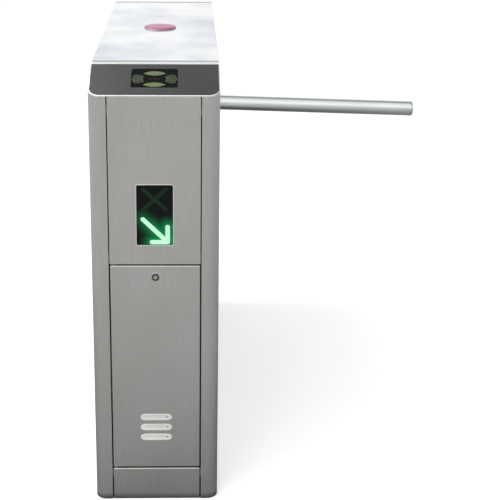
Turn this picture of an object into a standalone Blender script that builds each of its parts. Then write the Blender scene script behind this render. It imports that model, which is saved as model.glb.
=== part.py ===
"""Visitor counter turnstile: a stainless cabinet with one motor-driven drop arm.

Frame: the origin is on the floor under the cabinet's middle, +Z is up, +X points towards the lane
that the arm closes, and -Y is the front end. Both ends are alike, turned by 180 degrees about Z.
All lengths are in metres and all angles in radians.
"""

import math

import bmesh
import bpy
from mathutils import Vector

# --- Driving dimensions ---------------------------------------------------------------------------

GAP = 0.0003                     # between pieces that touch
LENGTH = 1.200                   # cabinet along Y
WIDTH = 0.280                    # cabinet along X
HEIGHT = 1.000                   # top of the lid
CORNER_R = 0.025                 # vertical corners of the cabinet
SHEET = 0.002                    # stainless sheet
HALF_L = LENGTH / 2
HALF_W = WIDTH / 2

FACE_TOP = 0.9555                # height where the end slope starts
SLOPE_RUN = 0.118                # horizontal run of the end slope
SLOPE_RISE = HEIGHT - FACE_TOP
SLOPE_ANGLE = math.atan2(SLOPE_RISE, SLOPE_RUN)
SLOPE_LENGTH = math.hypot(SLOPE_RISE, SLOPE_RUN)
SLOPE_PLATE = 0.003

COLUMN_INNER = 0.1015            # inner edge of the side panels' return on the end faces
PANEL_HALF = 0.0992              # half width of the panels and door between those edges
PLINTH_TOP = 0.079
DOOR_BOTTOM = 0.082
DOOR_TOP = 0.5755
UPPER_BOTTOM = 0.5785
DOOR_DEPTH = 0.015
HINGE_X = -0.093                 # door pivot, in the front end's own frame
HINGE_Y = -0.5927
HINGE_ROD_R = 0.003

HEADER_OUTER = HALF_L - SLOPE_RUN - 0.0015
HEADER_INNER = 0.4623
LID_HALF = 0.4619
LID_BOTTOM = 0.991               # lower edge of the lid's skirt
PANEL_TOP = 0.9887               # upper edge of the side panels under the lid
LID_HINGE_X = -HALF_W + SHEET / 2
LID_HINGE_Z = (LID_BOTTOM + PANEL_TOP) / 2

BASE_THICK = 0.004
ANCHOR_X = 0.080                 # floor anchors
ANCHOR_Y = 0.480
ANCHOR_R = 0.007
CABLE_Y = -0.250                 # cable gland, on the cabinet's centreline
GLAND_HOLE_R = 0.030
GLAND_RIM_R = 0.036
GLAND_BORE_R = 0.015
GLAND_TOP = 0.012

FRAME_OUTER = 0.111              # end frame's uprights, from the centreline
FRAME_INNER = 0.105
FRAME_FRONT = -0.597
FRAME_BACK = -0.567
FRAME_TOP = 0.935
BAR_FRONT = -0.5972              # front face of the end frame's cross bars
BAR_BACK = -0.578
BAR_TALL = 0.020
BAR_LOWS = {"low": 0.056, "middle": 0.581, "high": 0.912}
ROD_LOW = 0.062                  # door hinge rod
ROD_HIGH = 0.596
ROD_HOLES = {"frame_low": (0.060, 0.090), "frame_high": (0.570, 0.597)}

WINDOW_HALF = 0.0395             # display window
WINDOW_LOW = 0.623
WINDOW_HIGH = 0.759
WINDOW_R = 0.003
WINDOW_RECESS = 0.0006
WINDOW_THICK = 0.0012
DISPLAY_BACK = 0.024             # back of the display's housing, from the end's face
DISPLAY_BORDER = 0.008
READER_HALF = 0.050              # reader window on the slope
READER_LOW = 0.0302
READER_HIGH = 0.1052
READER_R = 0.004
READER_BORDER = 0.006
READER_DEEP = 0.022
LOCK_Z = 0.5495
LOUVRE_HEIGHTS = (0.159, 0.184, 0.209)
LOUVRE_LENGTH = 0.068
LOUVRE_WIDTH = 0.013

LID_LIGHT_R = 0.030              # hole in the lid for the status light
BEZEL_R = 0.041
BEZEL_TOP = 0.0040
BEZEL_NECK = 0.016
LENS_SEAT_R = 0.0355
LENS_TOP = 0.0062
LID_PIN_HALF = 0.440
LID_PIN_R = 0.00085

BARREL_R = 0.0095                # cam lock
BARREL_LONG = 0.022
LOCK_HEAD_R = 0.0105
LOCK_PROUD = 0.0015
PLUG_R = 0.0057
CAM_THICK = 0.003
CAM_HALF = 0.008
CAM_REACH = 0.043

PIVOT = Vector((0.100, 0.0, 0.8068))   # drop arm pivot, axis along Y
ARM_DROOP = math.radians(1.72)         # the raised arm leans this far below level
ARM_R = 0.019
ARM_WALL = 0.002
ARM_START = 0.032
ARM_END = 0.553
ARM_TIP = 0.559
HUB_R = 0.030
HUB_HALF = 0.021
SHAFT_R = 0.010

SLOT_HALF = 0.023                # slot in the lane-side panel
SLOT_LOW = 0.235
SLOT_HIGH = 0.835
SLOT_R = 0.008
CHANNEL_BACK = 0.068             # channel that the lowered arm hangs in
CHANNEL_HALF = 0.0262
CHANNEL_LOW = 0.238
SHELF_LOW = 0.690
SHELF_TOP = 0.694
SHELF_HALF = 0.250
NOTCH_X = 0.079                  # shelf's opening for the arm
NOTCH_HALF = 0.0242
PLATE_INNER = 0.030              # mechanism plates, distance from the arm's plane
PLATE_OUTER = 0.036
PLATE_LEFT = 0.060
PLATE_RIGHT = 0.134
PLATE_TOP = 0.850
FOOT_OUTER = 0.056
FOOT_TOP = SHELF_TOP + 0.0063
BEARING_R = 0.021
FLANGE_R = 0.027
FLANGE = 0.003

GEAR_MODULE = 0.002
GEAR_TEETH = 32
PINION_TEETH = 16
GEAR_FRONT = -0.064
GEAR_BACK = -0.052
CENTRE_DISTANCE = GEAR_MODULE * (GEAR_TEETH + PINION_TEETH) / 2
PINION_X = PIVOT.x - CENTRE_DISTANCE
PINION_SHAFT_R = 0.005
PINION_SHAFT_LONG = 0.024

SHAFT_FRONT = -0.066
SHAFT_LONG = 0.184
BRACKET_FACE = -0.070            # motor bracket
BRACKET_THICK = 0.004
BRACKET_LEFT = 0.020
BRACKET_RIGHT = 0.0845
BRACKET_TOP = 0.838
BRACKET_FOOT = -0.115
BRACKET_FOOT_TOP = 0.699
GEARBOX_R = 0.026
GEARBOX_LONG = 0.060
MOTOR_R = 0.022
MOTOR_LONG = 0.090

STOP_Y = 0.051                   # stop lever and its bracket
STOP_THICK = 0.010
LEVER_LONG = 0.050
LEVER_HALF = 0.008
LEVER_BOSS_R = 0.019
STOP_LEFT = 0.046
STOP_STEP_TOP = 0.784
STOP_STEP_RIGHT = 0.066
STOP_FLOOR = 0.715
COLUMN_LEFT = 0.123
COLUMN_TOP = 0.855
BUFFER_R = 0.0045
BUFFER_X = 0.056
BUFFER_Z = 0.846
BUFFER_PLAY = 0.0006

ROTOR_R = 0.027                  # holding brake
ROTOR_Y = 0.064
ROTOR_THICK = 0.006
BRAKE_R = 0.030
BRAKE_Y = 0.0704
BRAKE_LONG = 0.026
BRAKE_PLAY = 0.0004
BRAKE_FOOT = ((0.075, 0.0714), (0.125, 0.0954))
BRAKE_FOOT_TOP = 0.784

DISC_R = 0.022                   # encoder
DISC_Y = 0.106
DISC_THICK = 0.002
SENSOR_PLAN = ((0.070, 0.100), (0.086, 0.114))
SENSOR_TOP = 0.806
SENSOR_SLOT = ((0.0765, 0.1045, 0.770), (0.095, 0.1095, 0.815))

TRAY_DEEP = 0.014                # equipment tray on the outer side panel
TRAY_SPAN = ((-0.470, 0.140), (-0.070, 0.560))
SUPPLY_SPAN = ((-0.440, 0.170), (-0.330, 0.370))
SUPPLY_DEEP = 0.050
BOARD_SPAN = ((-0.300, 0.170), (-0.100, 0.330))
BOARD_DEEP = 0.008
RELAY_COUNT = 4
RELAY_PITCH = 0.047
RELAY_SPAN = ((-0.290, 0.180), (-0.256, 0.205))
RELAY_TOP = 0.024
TERMINAL_SPAN = ((-0.290, 0.305), (-0.110, 0.323))
TERMINAL_TOP = 0.019
COUNTER_SPAN = ((-0.290, 0.390), (-0.170, 0.450))
COUNTER_DEEP = 0.032
SINK = 0.001                     # how far a joined block sinks into the one under it

ROUND = 24                       # sides of a round piece
SMALL_ROUND = 16                 # sides of a small hole
ARC_STEPS = 8                    # steps of a quarter arc
CUT_DEEP = 0.020                 # length of a cutter that passes through sheet
MERGE = 0.00001

# --- Scene and materials --------------------------------------------------------------------------

for old in list(bpy.data.objects):
    bpy.data.objects.remove(old, do_unlink=True)

PARTS = bpy.data.collections.new("visitor_counter_turnstile")
CUTTERS = bpy.data.collections.new("cutters")
bpy.context.scene.collection.children.link(PARTS)
bpy.context.scene.collection.children.link(CUTTERS)


def material(name, colour, roughness, metallic):
    """A Principled material of one colour."""
    made = bpy.data.materials.new(name)
    made.use_nodes = True
    shader = made.node_tree.nodes["Principled BSDF"]
    shader.inputs["Base Color"].default_value = (*colour, 1.0)
    shader.inputs["Roughness"].default_value = roughness
    shader.inputs["Metallic"].default_value = metallic
    return made


STEEL = material("brushed_stainless", (0.58, 0.58, 0.56), 0.35, 1.0)
BRIGHT = material("polished_stainless", (0.80, 0.81, 0.83), 0.12, 1.0)
SLOPE_GREY = material("dark_slope", (0.10, 0.10, 0.095), 0.40, 0.6)
GLASS = material("dark_window", (0.01, 0.015, 0.012), 0.08, 0.0)
RED_LENS = material("red_lens", (0.65, 0.16, 0.28), 0.25, 0.0)
PAINTED = material("grey_paint", (0.30, 0.31, 0.32), 0.55, 0.0)
MACHINED = material("machined_steel", (0.50, 0.50, 0.50), 0.30, 1.0)
BRASS = material("brass", (0.72, 0.52, 0.22), 0.30, 1.0)
RUBBER = material("rubber", (0.03, 0.03, 0.03), 0.85, 0.0)
BLACK_PLASTIC = material("black_plastic", (0.04, 0.04, 0.04), 0.50, 0.0)
MOTOR_BLACK = material("motor_black", (0.06, 0.06, 0.07), 0.45, 0.2)
BOARD_GREEN = material("circuit_board", (0.03, 0.22, 0.09), 0.45, 0.0)
WHITE_PLASTIC = material("white_plastic", (0.75, 0.75, 0.73), 0.50, 0.0)


# --- Shape helpers --------------------------------------------------------------------------------

def empty(name, location, turn_x=0.0, turn_y=0.0, turn_z=0.0, parent=None):
    """A reference frame that pieces are parented to."""
    made = bpy.data.objects.new(name, None)
    made.location = location
    made.rotation_euler = (turn_x, turn_y, turn_z)
    made.parent = parent
    PARTS.objects.link(made)
    return made


def place(name, mesh, finish, parent=None, cutter=False):
    """Link a mesh as a named part, or as a cutter when cutter is set."""
    made = bpy.data.objects.new(name, mesh)
    made.parent = parent
    if cutter:
        made.hide_render = True
        made.display_type = "WIRE"
        CUTTERS.objects.link(made)
    else:
        mesh.materials.append(finish)
        PARTS.objects.link(made)
    return made


def box(name, low, high, finish=None, parent=None, cutter=False):
    """A block between two corners, with its origin at its middle."""
    low, high = Vector(low), Vector(high)
    shape = bmesh.new()
    bmesh.ops.create_cube(shape, size=1.0)
    bmesh.ops.scale(shape, vec=high - low, verts=shape.verts)
    mesh = bpy.data.meshes.new(name)
    shape.to_mesh(mesh)
    shape.free()
    made = place(name, mesh, finish, parent, cutter)
    made.location = (low + high) / 2
    return made


AXIS_TURN = {
    "X": (0.0, math.pi / 2, 0.0),
    "Y": (-math.pi / 2, 0.0, 0.0),
    "Z": (0.0, 0.0, 0.0),
}


def cylinder(name, radius, start, length, axis, finish=None, parent=None, cutter=False):
    """A round bar from start, along an axis."""
    shape = bmesh.new()
    bmesh.ops.create_cone(shape, cap_ends=True, segments=ROUND, radius1=radius, radius2=radius, depth=length)
    bmesh.ops.translate(shape, vec=(0, 0, length / 2), verts=shape.verts)
    mesh = bpy.data.meshes.new(name)
    shape.to_mesh(mesh)
    shape.free()
    mesh.shade_smooth()
    mesh.set_sharp_from_angle(angle=math.radians(40))
    made = place(name, mesh, finish, parent, cutter)
    made.location = start
    made.rotation_euler = AXIS_TURN[axis]
    return made


def turned(name, profile, closed, start, axis, finish, parent=None):
    """A turned piece: profile holds (radius, height) pairs that run down the outer side."""
    shape = bmesh.new()
    corners = [shape.verts.new((radius, 0.0, height)) for radius, height in profile]
    for first, second in zip(corners, corners[1:]):
        shape.edges.new((first, second))
    if closed:
        shape.edges.new((corners[-1], corners[0]))
    mesh = bpy.data.meshes.new(name)
    shape.to_mesh(mesh)
    shape.free()
    made = place(name, mesh, finish, parent)
    made.location = start
    made.rotation_euler = AXIS_TURN[axis]
    screw = made.modifiers.new("turn", "SCREW")
    screw.axis = "Z"
    screw.steps = ROUND
    screw.render_steps = ROUND
    screw.use_merge_vertices = True
    screw.merge_threshold = MERGE
    screw.use_smooth_shade = False
    return made


def ring(name, outer, inner, start, length, axis, finish, parent=None):
    """A plain turned ring."""
    profile = [(outer, length), (outer, 0.0), (inner, 0.0), (inner, length)]
    return turned(name, profile, True, start, axis, finish, parent)


def circle(centre, radius, steps=ROUND):
    """Points round a circle."""
    return [
        (
            centre[0] + radius * math.cos(2 * math.pi * step / steps),
            centre[1] + radius * math.sin(2 * math.pi * step / steps),
        )
        for step in range(steps)
    ]


def arc(centre, radius, start, end, steps=ARC_STEPS):
    """Points along an arc, both ends included, with angles in degrees."""
    points = []
    for step in range(steps + 1):
        angle = math.radians(start + (end - start) * step / steps)
        points.append((centre[0] + radius * math.cos(angle), centre[1] + radius * math.sin(angle)))
    return points


def rounded_rectangle(low, high, radius):
    """Points round a rectangle with rounded corners."""
    return (
        arc((high[0] - radius, high[1] - radius), radius, 0, 90)
        + arc((low[0] + radius, high[1] - radius), radius, 90, 180)
        + arc((low[0] + radius, low[1] + radius), radius, 180, 270)
        + arc((high[0] - radius, low[1] + radius), radius, 270, 360)
    )


def obround(centre, length, width):
    """Points round a slot with half-round ends, long in its first direction."""
    reach = (length - width) / 2
    right = arc((centre[0] + reach, centre[1]), width / 2, -90, 90)
    left = arc((centre[0] - reach, centre[1]), width / 2, 90, 270)
    return right + left


UPRIGHT = (math.pi / 2, 0.0, 0.0)      # a flat outline stood up: its Y becomes Z


def plate(name, outlines, thickness, centre, turn, finish=None, parent=None, cutter=False):
    """A flat plate from a 2D outline and its holes, as a welded mesh."""
    curve = bpy.data.curves.new(name + "_outline", "CURVE")
    curve.dimensions = "2D"
    curve.fill_mode = "BOTH"
    curve.extrude = thickness / 2
    for outline in outlines:
        spline = curve.splines.new("POLY")
        spline.points.add(len(outline) - 1)
        for point, (across, along) in zip(spline.points, outline):
            point.co = (across, along, 0.0, 1.0)
        spline.use_cyclic_u = True
    drawn = bpy.data.objects.new(name + "_outline", curve)
    PARTS.objects.link(drawn)
    view = bpy.context.evaluated_depsgraph_get()
    mesh = bpy.data.meshes.new_from_object(drawn.evaluated_get(view))
    bpy.data.objects.remove(drawn, do_unlink=True)
    mesh.name = name
    shape = bmesh.new()
    shape.from_mesh(mesh)
    bmesh.ops.remove_doubles(shape, verts=shape.verts, dist=MERGE)
    bmesh.ops.recalc_face_normals(shape, faces=shape.faces)
    shape.to_mesh(mesh)
    shape.free()
    mesh.materials.clear()
    made = place(name, mesh, finish, parent, cutter)
    made.location = centre
    made.rotation_euler = turn
    return made


def bent_sheet(name, path, low, top_of, finish, thickness=SHEET):
    """A sheet bent along a plan path and standing from low to the height that top_of gives.

    The material lies to the left of the path's direction.
    """
    shape = bmesh.new()
    lower = [shape.verts.new((x, y, low)) for x, y in path]
    upper = [shape.verts.new((x, y, top_of(y))) for x, y in path]
    for here in range(len(path) - 1):
        shape.faces.new((lower[here], lower[here + 1], upper[here + 1], upper[here]))
    mesh = bpy.data.meshes.new(name)
    shape.to_mesh(mesh)
    shape.free()
    made = place(name, mesh, finish)
    thicken(made, thickness)
    return made


def thicken(target, thickness=SHEET):
    """Give an open surface its sheet thickness, on the side behind its faces."""
    solid = target.modifiers.new("thickness", "SOLIDIFY")
    solid.thickness = thickness
    solid.offset = -1.0
    solid.use_even_offset = True


def open_tray(name, low, high, open_face, finish, parent=None):
    """A folded sheet box with one or more open faces, named by their outward direction."""
    low, high = Vector(low), Vector(high)
    shape = bmesh.new()
    bmesh.ops.create_cube(shape, size=1.0)
    shape.normal_update()
    spare = [face for face in shape.faces if any(face.normal.dot(Vector(way)) > 0.9 for way in open_face)]
    bmesh.ops.delete(shape, geom=spare, context="FACES_ONLY")
    bmesh.ops.scale(shape, vec=high - low, verts=shape.verts)
    mesh = bpy.data.meshes.new(name)
    shape.to_mesh(mesh)
    shape.free()
    made = place(name, mesh, finish, parent)
    made.location = (low + high) / 2
    thicken(made)
    return made


def boolean(target, tool, operation):
    """Cut a tool from a target, or join it on."""
    step = target.modifiers.new(operation.lower(), "BOOLEAN")
    step.operation = operation
    step.solver = "EXACT"
    step.object = tool
    return target


def cut(target, tool):
    """Take a cutter's shape out of a part."""
    return boolean(target, tool, "DIFFERENCE")


def join(target, tool):
    """Add a cutter's shape to a part, as one body."""
    return boolean(target, tool, "UNION")


# --- Cabinet shell --------------------------------------------------------------------------------

def roof(y):
    """Height of the outside roof line at a distance along the cabinet."""
    beyond = max(0.0, abs(y) - (HALF_L - SLOPE_RUN))
    return HEIGHT - SLOPE_RISE * beyond / SLOPE_RUN


def panel_top(y):
    """Upper edge of a side panel: under the slope plates at the ends, under the lid between."""
    under_slope = roof(y) - SLOPE_PLATE / math.cos(SLOPE_ANGLE) - GAP
    return under_slope if abs(y) >= HALF_L - SLOPE_RUN else PANEL_TOP


def side_path(side):
    """Plan path of a side panel from its front return to its rear return."""
    turn_x = HALF_W - CORNER_R
    turn_y = HALF_L - CORNER_R
    edge = HALF_L - SLOPE_RUN
    step = 2 * GAP
    right = (
        [(COLUMN_INNER, -HALF_L)]
        + arc((turn_x, -turn_y), CORNER_R, -90, 0)
        + [(HALF_W, -edge - GAP), (HALF_W, -edge + step), (HALF_W, edge - step), (HALF_W, edge + GAP)]
        + arc((turn_x, turn_y), CORNER_R, 0, 90)
        + [(COLUMN_INNER, HALF_L)]
    )
    if side > 0:
        return right
    return [(-x, -y) for x, y in right]


def side_panels():
    """The two long side panels, each one bent sheet, the lane side with the arm's slot."""
    bent_sheet("side_panel_left", side_path(-1), 0.0, panel_top, STEEL)
    right = bent_sheet("side_panel_right", side_path(1), 0.0, panel_top, STEEL)
    outline = rounded_rectangle((-SLOT_HALF, SLOT_LOW), (SLOT_HALF, SLOT_HIGH), SLOT_R)
    turn = (math.pi / 2, 0, math.pi / 2)
    slot = plate("slot_cutter", [outline], CUT_DEEP, (HALF_W, 0, 0), turn, cutter=True)
    cut(right, slot)


def base():
    """Floor plate with four anchor holes, and the gland that the supply comes up through."""
    inset = SHEET + 2 * GAP
    holes = [
        circle((x, y), ANCHOR_R, SMALL_ROUND)
        for x in (-ANCHOR_X, ANCHOR_X)
        for y in (-ANCHOR_Y, ANCHOR_Y)
    ]
    cable = (0.0, CABLE_Y)
    outline = rounded_rectangle(
        (-HALF_W + inset, -HALF_L + inset), (HALF_W - inset, HALF_L - inset), CORNER_R - inset
    )
    plate(
        "base_plate", [outline, circle(cable, GLAND_HOLE_R), *holes],
        BASE_THICK, (0, 0, BASE_THICK / 2), (0, 0, 0), PAINTED,
    )
    neck = GLAND_HOLE_R - GAP
    lip = BASE_THICK + GAP
    gland = [(GLAND_RIM_R, GLAND_TOP), (GLAND_RIM_R, lip), (neck, lip)]
    gland += [(neck, SINK), (GLAND_BORE_R, SINK), (GLAND_BORE_R, GLAND_TOP)]
    turned("cable_gland", gland, True, (*cable, 0.0), "Z", RUBBER)


def lid():
    """Lift-up lid with its hinge pin along the outer side, and the status light on it."""
    top = open_tray("lid", (-HALF_W, -LID_HALF, LID_BOTTOM), (HALF_W, LID_HALF, HEIGHT), [(0, 0, -1)], BRIGHT)
    start = (0, 0, HEIGHT - CUT_DEEP)
    cut(top, cylinder("lid_light_cutter", LID_LIGHT_R, start, 2 * CUT_DEEP, "Z", cutter=True))
    start = (LID_HINGE_X, -LID_PIN_HALF, LID_HINGE_Z)
    cylinder("lid_hinge_pin", LID_PIN_R, start, 2 * LID_PIN_HALF, "Y", MACHINED)
    neck, wall, ledge = LID_LIGHT_R - GAP, 0.003, 0.0015
    bezel = [(BEZEL_R - SINK, BEZEL_TOP), (BEZEL_R, BEZEL_TOP - SINK), (BEZEL_R, GAP), (neck, GAP)]
    bezel += [(neck, -BEZEL_NECK), (neck - wall, -BEZEL_NECK), (neck - wall, ledge)]
    bezel += [(LENS_SEAT_R, ledge), (LENS_SEAT_R, BEZEL_TOP)]
    turned("status_bezel", bezel, True, (0, 0, HEIGHT), "Z", BRIGHT)
    lens_r = LENS_SEAT_R - GAP
    shoulder = BEZEL_TOP + (LENS_TOP - BEZEL_TOP) * 0.4
    crown = BEZEL_TOP + (LENS_TOP - BEZEL_TOP) * 0.8
    lens = [(0.0, LENS_TOP), (lens_r * 0.5, crown), (lens_r * 0.85, shoulder), (lens_r, BEZEL_TOP)]
    lens += [(lens_r, ledge + GAP), (0.0, ledge + GAP)]
    turned("status_lens", lens, False, (0, 0, HEIGHT), "Z", RED_LENS)


# --- Ends, made once and turned for the rear --------------------------------------------------------

def slope_outline():
    """Outline of a slope plate in its own plane, from the bottom edge upwards."""
    stretch = SLOPE_LENGTH / SLOPE_RUN
    turn_x = HALF_W - CORNER_R
    left = arc((-turn_x, CORNER_R), CORNER_R, 180, 270)
    right = arc((turn_x, CORNER_R), CORNER_R, 270, 360)
    plan = [(-HALF_W, SLOPE_RUN), *left, *right, (HALF_W, SLOPE_RUN)]
    return [(x, y * stretch) for x, y in plan]


def slope(end, tag):
    """Dark slope plate with the reader's window and housing behind it."""
    tilt = empty("slope_" + tag, (0, -HALF_L, FACE_TOP), turn_x=SLOPE_ANGLE, parent=end)
    half = SLOPE_PLATE / 2
    opening = rounded_rectangle((-READER_HALF, READER_LOW), (READER_HALF, READER_HIGH), READER_R)
    outlines = [slope_outline(), opening]
    plate("slope_cover_" + tag, outlines, SLOPE_PLATE, (0, 0, -half), (0, 0, 0), SLOPE_GREY, tilt)
    window = rounded_rectangle(
        (-READER_HALF + GAP, READER_LOW + GAP), (READER_HALF - GAP, READER_HIGH - GAP), READER_R - GAP
    )
    plate("reader_window_" + tag, [window], SLOPE_PLATE, (0, 0, -half), (0, 0, 0), GLASS, tilt)
    border = READER_BORDER
    deep = SLOPE_PLATE + GAP
    box(
        "reader_module_" + tag,
        (-READER_HALF - border, READER_LOW - border, -deep - READER_DEEP),
        (READER_HALF + border, READER_HIGH + border, -deep),
        BLACK_PLASTIC, tilt,
    )


def header_strip(end, tag):
    """Narrow folded strip across the roof between the slope and the lid."""
    ends = [(0, 0, -1), (0, 1, 0), (0, -1, 0)]
    low = (-HALF_W, -HEADER_OUTER, LID_BOTTOM)
    high = (HALF_W, -HEADER_INNER, HEIGHT)
    open_tray("header_strip_" + tag, low, high, ends, BRIGHT, end)


def hinge_hole(end, tag, where, low, high):
    """Cutter for the hole that a door's hinge rod stands in."""
    return cylinder(
        f"rod_cutter_{tag}_{where}", HINGE_ROD_R + GAP, (HINGE_X, HINGE_Y, low), high - low, "Z",
        parent=end, cutter=True,
    )


def end_frame(end, tag):
    """Welded frame behind an end: two uprights and three cross bars."""
    foot = BASE_THICK + GAP
    low, high = (-FRAME_OUTER, FRAME_FRONT, foot), (-FRAME_INNER, FRAME_BACK, FRAME_TOP)
    frame = box("end_frame_" + tag, low, high, PAINTED, end)
    low, high = (FRAME_INNER, FRAME_FRONT, foot), (FRAME_OUTER, FRAME_BACK, FRAME_TOP)
    join(frame, box("upright_" + tag, low, high, None, end, True))
    reach = FRAME_INNER + SINK
    for where, bottom in BAR_LOWS.items():
        low, high = (-reach, BAR_FRONT, bottom), (reach, BAR_BACK, bottom + BAR_TALL)
        join(frame, box(f"bar_{tag}_{where}", low, high, None, end, True))
    for where, (bottom, top) in ROD_HOLES.items():
        cut(frame, hinge_hole(end, tag, where, bottom, top))


def end_panels(end, tag):
    """Flat upper panel with the display opening, the plinth panel, and the display itself."""
    low_z = UPPER_BOTTOM
    high_z = panel_top(HALF_L) - GAP
    outline = [(-PANEL_HALF, low_z), (PANEL_HALF, low_z), (PANEL_HALF, high_z), (-PANEL_HALF, high_z)]
    opening = rounded_rectangle((-WINDOW_HALF, WINDOW_LOW), (WINDOW_HALF, WINDOW_HIGH), WINDOW_R)
    middle = -HALF_L + SHEET / 2
    plate("upper_panel_" + tag, [outline, opening], SHEET, (0, middle, 0), UPRIGHT, STEEL, end)
    low, high = (-PANEL_HALF, -HALF_L, 0.0), (PANEL_HALF, -HALF_L + SHEET, PLINTH_TOP)
    box("plinth_panel_" + tag, low, high, STEEL, end)
    glass = rounded_rectangle(
        (-WINDOW_HALF + GAP, WINDOW_LOW + GAP), (WINDOW_HALF - GAP, WINDOW_HIGH - GAP), WINDOW_R - GAP
    )
    glass_y = -HALF_L + WINDOW_RECESS + WINDOW_THICK / 2
    plate("display_window_" + tag, [glass], WINDOW_THICK, (0, glass_y, 0), UPRIGHT, GLASS, end)
    border = DISPLAY_BORDER
    box(
        "display_module_" + tag,
        (-WINDOW_HALF - border, -HALF_L + SHEET + GAP, WINDOW_LOW - border),
        (WINDOW_HALF + border, -HALF_L + DISPLAY_BACK, WINDOW_HIGH + border),
        BLACK_PLASTIC, end,
    )


def door(end, tag):
    """Service door: a folded tray with three louvre slots, and the rod that it turns on."""
    low = Vector((-PANEL_HALF, -HALF_L, DOOR_BOTTOM))
    high = Vector((PANEL_HALF, -HALF_L + DOOR_DEPTH, DOOR_TOP))
    leaf = open_tray("door_" + tag, low, high, [(0, 1, 0)], STEEL, end)
    for count, height in enumerate(LOUVRE_HEIGHTS):
        outline = obround((0, height), LOUVRE_LENGTH, LOUVRE_WIDTH)
        name = f"louvre_cutter_{tag}_{count}"
        cut(leaf, plate(name, [outline], CUT_DEEP, (0, -HALF_L, 0), UPRIGHT, parent=end, cutter=True))
    start = (0, -HALF_L - CUT_DEEP / 2, LOCK_Z)
    cut(leaf, cylinder("lock_cutter_" + tag, BARREL_R + GAP, start, CUT_DEEP, "Y", parent=end, cutter=True))
    over, into = 0.004, 0.010
    cut(leaf, hinge_hole(end, tag, "door_low", DOOR_BOTTOM - over, DOOR_BOTTOM + into))
    cut(leaf, hinge_hole(end, tag, "door_high", DOOR_TOP - into, DOOR_TOP + over))
    start = (HINGE_X, HINGE_Y, ROD_LOW)
    cylinder("hinge_rod_" + tag, HINGE_ROD_R, start, ROD_HIGH - ROD_LOW, "Z", MACHINED, end)


def cam_lock(end, tag):
    """Cam lock in the door: its barrel, and the plug with the cam."""
    barrel = [(BARREL_R, BARREL_LONG), (BARREL_R, -GAP), (LOCK_HEAD_R, -GAP), (LOCK_HEAD_R, -LOCK_PROUD)]
    barrel += [(PLUG_R + GAP, -LOCK_PROUD), (PLUG_R + GAP, BARREL_LONG)]
    turned("lock_barrel_" + tag, barrel, True, (0, -HALF_L, LOCK_Z), "Y", BRIGHT, end)
    cam_y = -HALF_L + BARREL_LONG + GAP
    start = (0, -HALF_L - LOCK_PROUD, LOCK_Z)
    length = BARREL_LONG + LOCK_PROUD + CAM_THICK + SINK
    plug = cylinder("lock_plug_" + tag, PLUG_R, start, length, "Y", MACHINED, end)
    cam_low = (-CAM_HALF, cam_y, LOCK_Z - CAM_HALF)
    cam_high = (CAM_REACH, cam_y + CAM_THICK, LOCK_Z + CAM_HALF)
    join(plug, box("cam_" + tag, cam_low, cam_high, None, end, True))


def cabinet_end(tag, turn):
    """Everything that both ends of the cabinet have."""
    end = empty(tag + "_end", (0, 0, 0), turn_z=turn)
    end_frame(end, tag)
    end_panels(end, tag)
    door(end, tag)
    cam_lock(end, tag)
    slope(end, tag)
    header_strip(end, tag)


# --- Drop arm and its drive -------------------------------------------------------------------------

def tooth_flanks(radii, teeth, half_tooth):
    """Angle from a tooth's middle to its flank at each radius, for an involute tooth."""
    pressure = math.radians(20)
    pitch = GEAR_MODULE * teeth / 2
    base_circle = pitch * math.cos(pressure)

    def involute(radius):
        if radius <= base_circle:
            return 0.0
        angle = math.acos(base_circle / radius)
        return math.tan(angle) - angle

    return [half_tooth + involute(pitch) - involute(radius) for radius in radii]


def gear_outline(teeth, phase):
    """Outline of a spur gear with the middle of one tooth at the phase angle."""
    pitch = GEAR_MODULE * teeth / 2
    backlash = 0.00035
    radii = (pitch - 1.25 * GEAR_MODULE, pitch, pitch + 0.9 * GEAR_MODULE)
    half_tooth = (math.pi * GEAR_MODULE / 2 - backlash) / (2 * pitch)
    flanks = list(zip(radii, tooth_flanks(radii, teeth, half_tooth)))
    points = []
    for tooth in range(teeth):
        middle = phase + 2 * math.pi * tooth / teeth
        rising = [(radius, middle - angle) for radius, angle in flanks]
        falling = [(radius, middle + angle) for radius, angle in reversed(flanks)]
        for radius, angle in rising + falling:
            points.append((radius * math.cos(angle), radius * math.sin(angle)))
    return points


def arm():
    """The arm: clamp hub on the shaft, tube on the hub's spigot, and a domed end cap."""
    pivot = empty("arm_pivot", PIVOT, turn_y=ARM_DROOP)
    inside = ARM_R - ARM_WALL - GAP
    hub = cylinder("arm_hub", HUB_R, (0, -HUB_HALF, 0), 2 * HUB_HALF, "Y", MACHINED, pivot)
    spigot_start, spigot_long = 0.015, 0.075
    join(hub, cylinder("spigot", inside, (spigot_start, 0, 0), spigot_long, "X", None, pivot, True))
    start = (0, -2 * HUB_HALF, 0)
    cut(hub, cylinder("hub_bore_cutter", SHAFT_R + GAP, start, 4 * HUB_HALF, "Y", None, pivot, True))
    ring("arm_tube", ARM_R, ARM_R - ARM_WALL, (ARM_START, 0, 0), ARM_END - ARM_START, "X", BRIGHT, pivot)
    dome = ARM_TIP - ARM_END - GAP
    plug_long, dome_step, dome_count = 0.022, math.radians(30), 4
    profile = [(0.0, GAP + dome)]
    for step in reversed(range(dome_count)):
        angle = dome_step * step
        profile.append((ARM_R - dome * (1 - math.cos(angle)), GAP + dome * math.sin(angle)))
    profile += [(inside, GAP), (inside, -plug_long), (0.0, -plug_long)]
    turned("arm_end_cap", profile, False, (ARM_END, 0, 0), "X", BRIGHT, pivot)


def arm_channel():
    """Sheet channel behind the slot that the lowered arm hangs in."""
    low = (CHANNEL_BACK, -CHANNEL_HALF, CHANNEL_LOW)
    high = (HALF_W - SHEET - 2 * GAP, CHANNEL_HALF, SHELF_LOW - GAP)
    open_tray("arm_channel", low, high, [(1, 0, 0), (0, 0, 1)], PAINTED)


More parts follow.
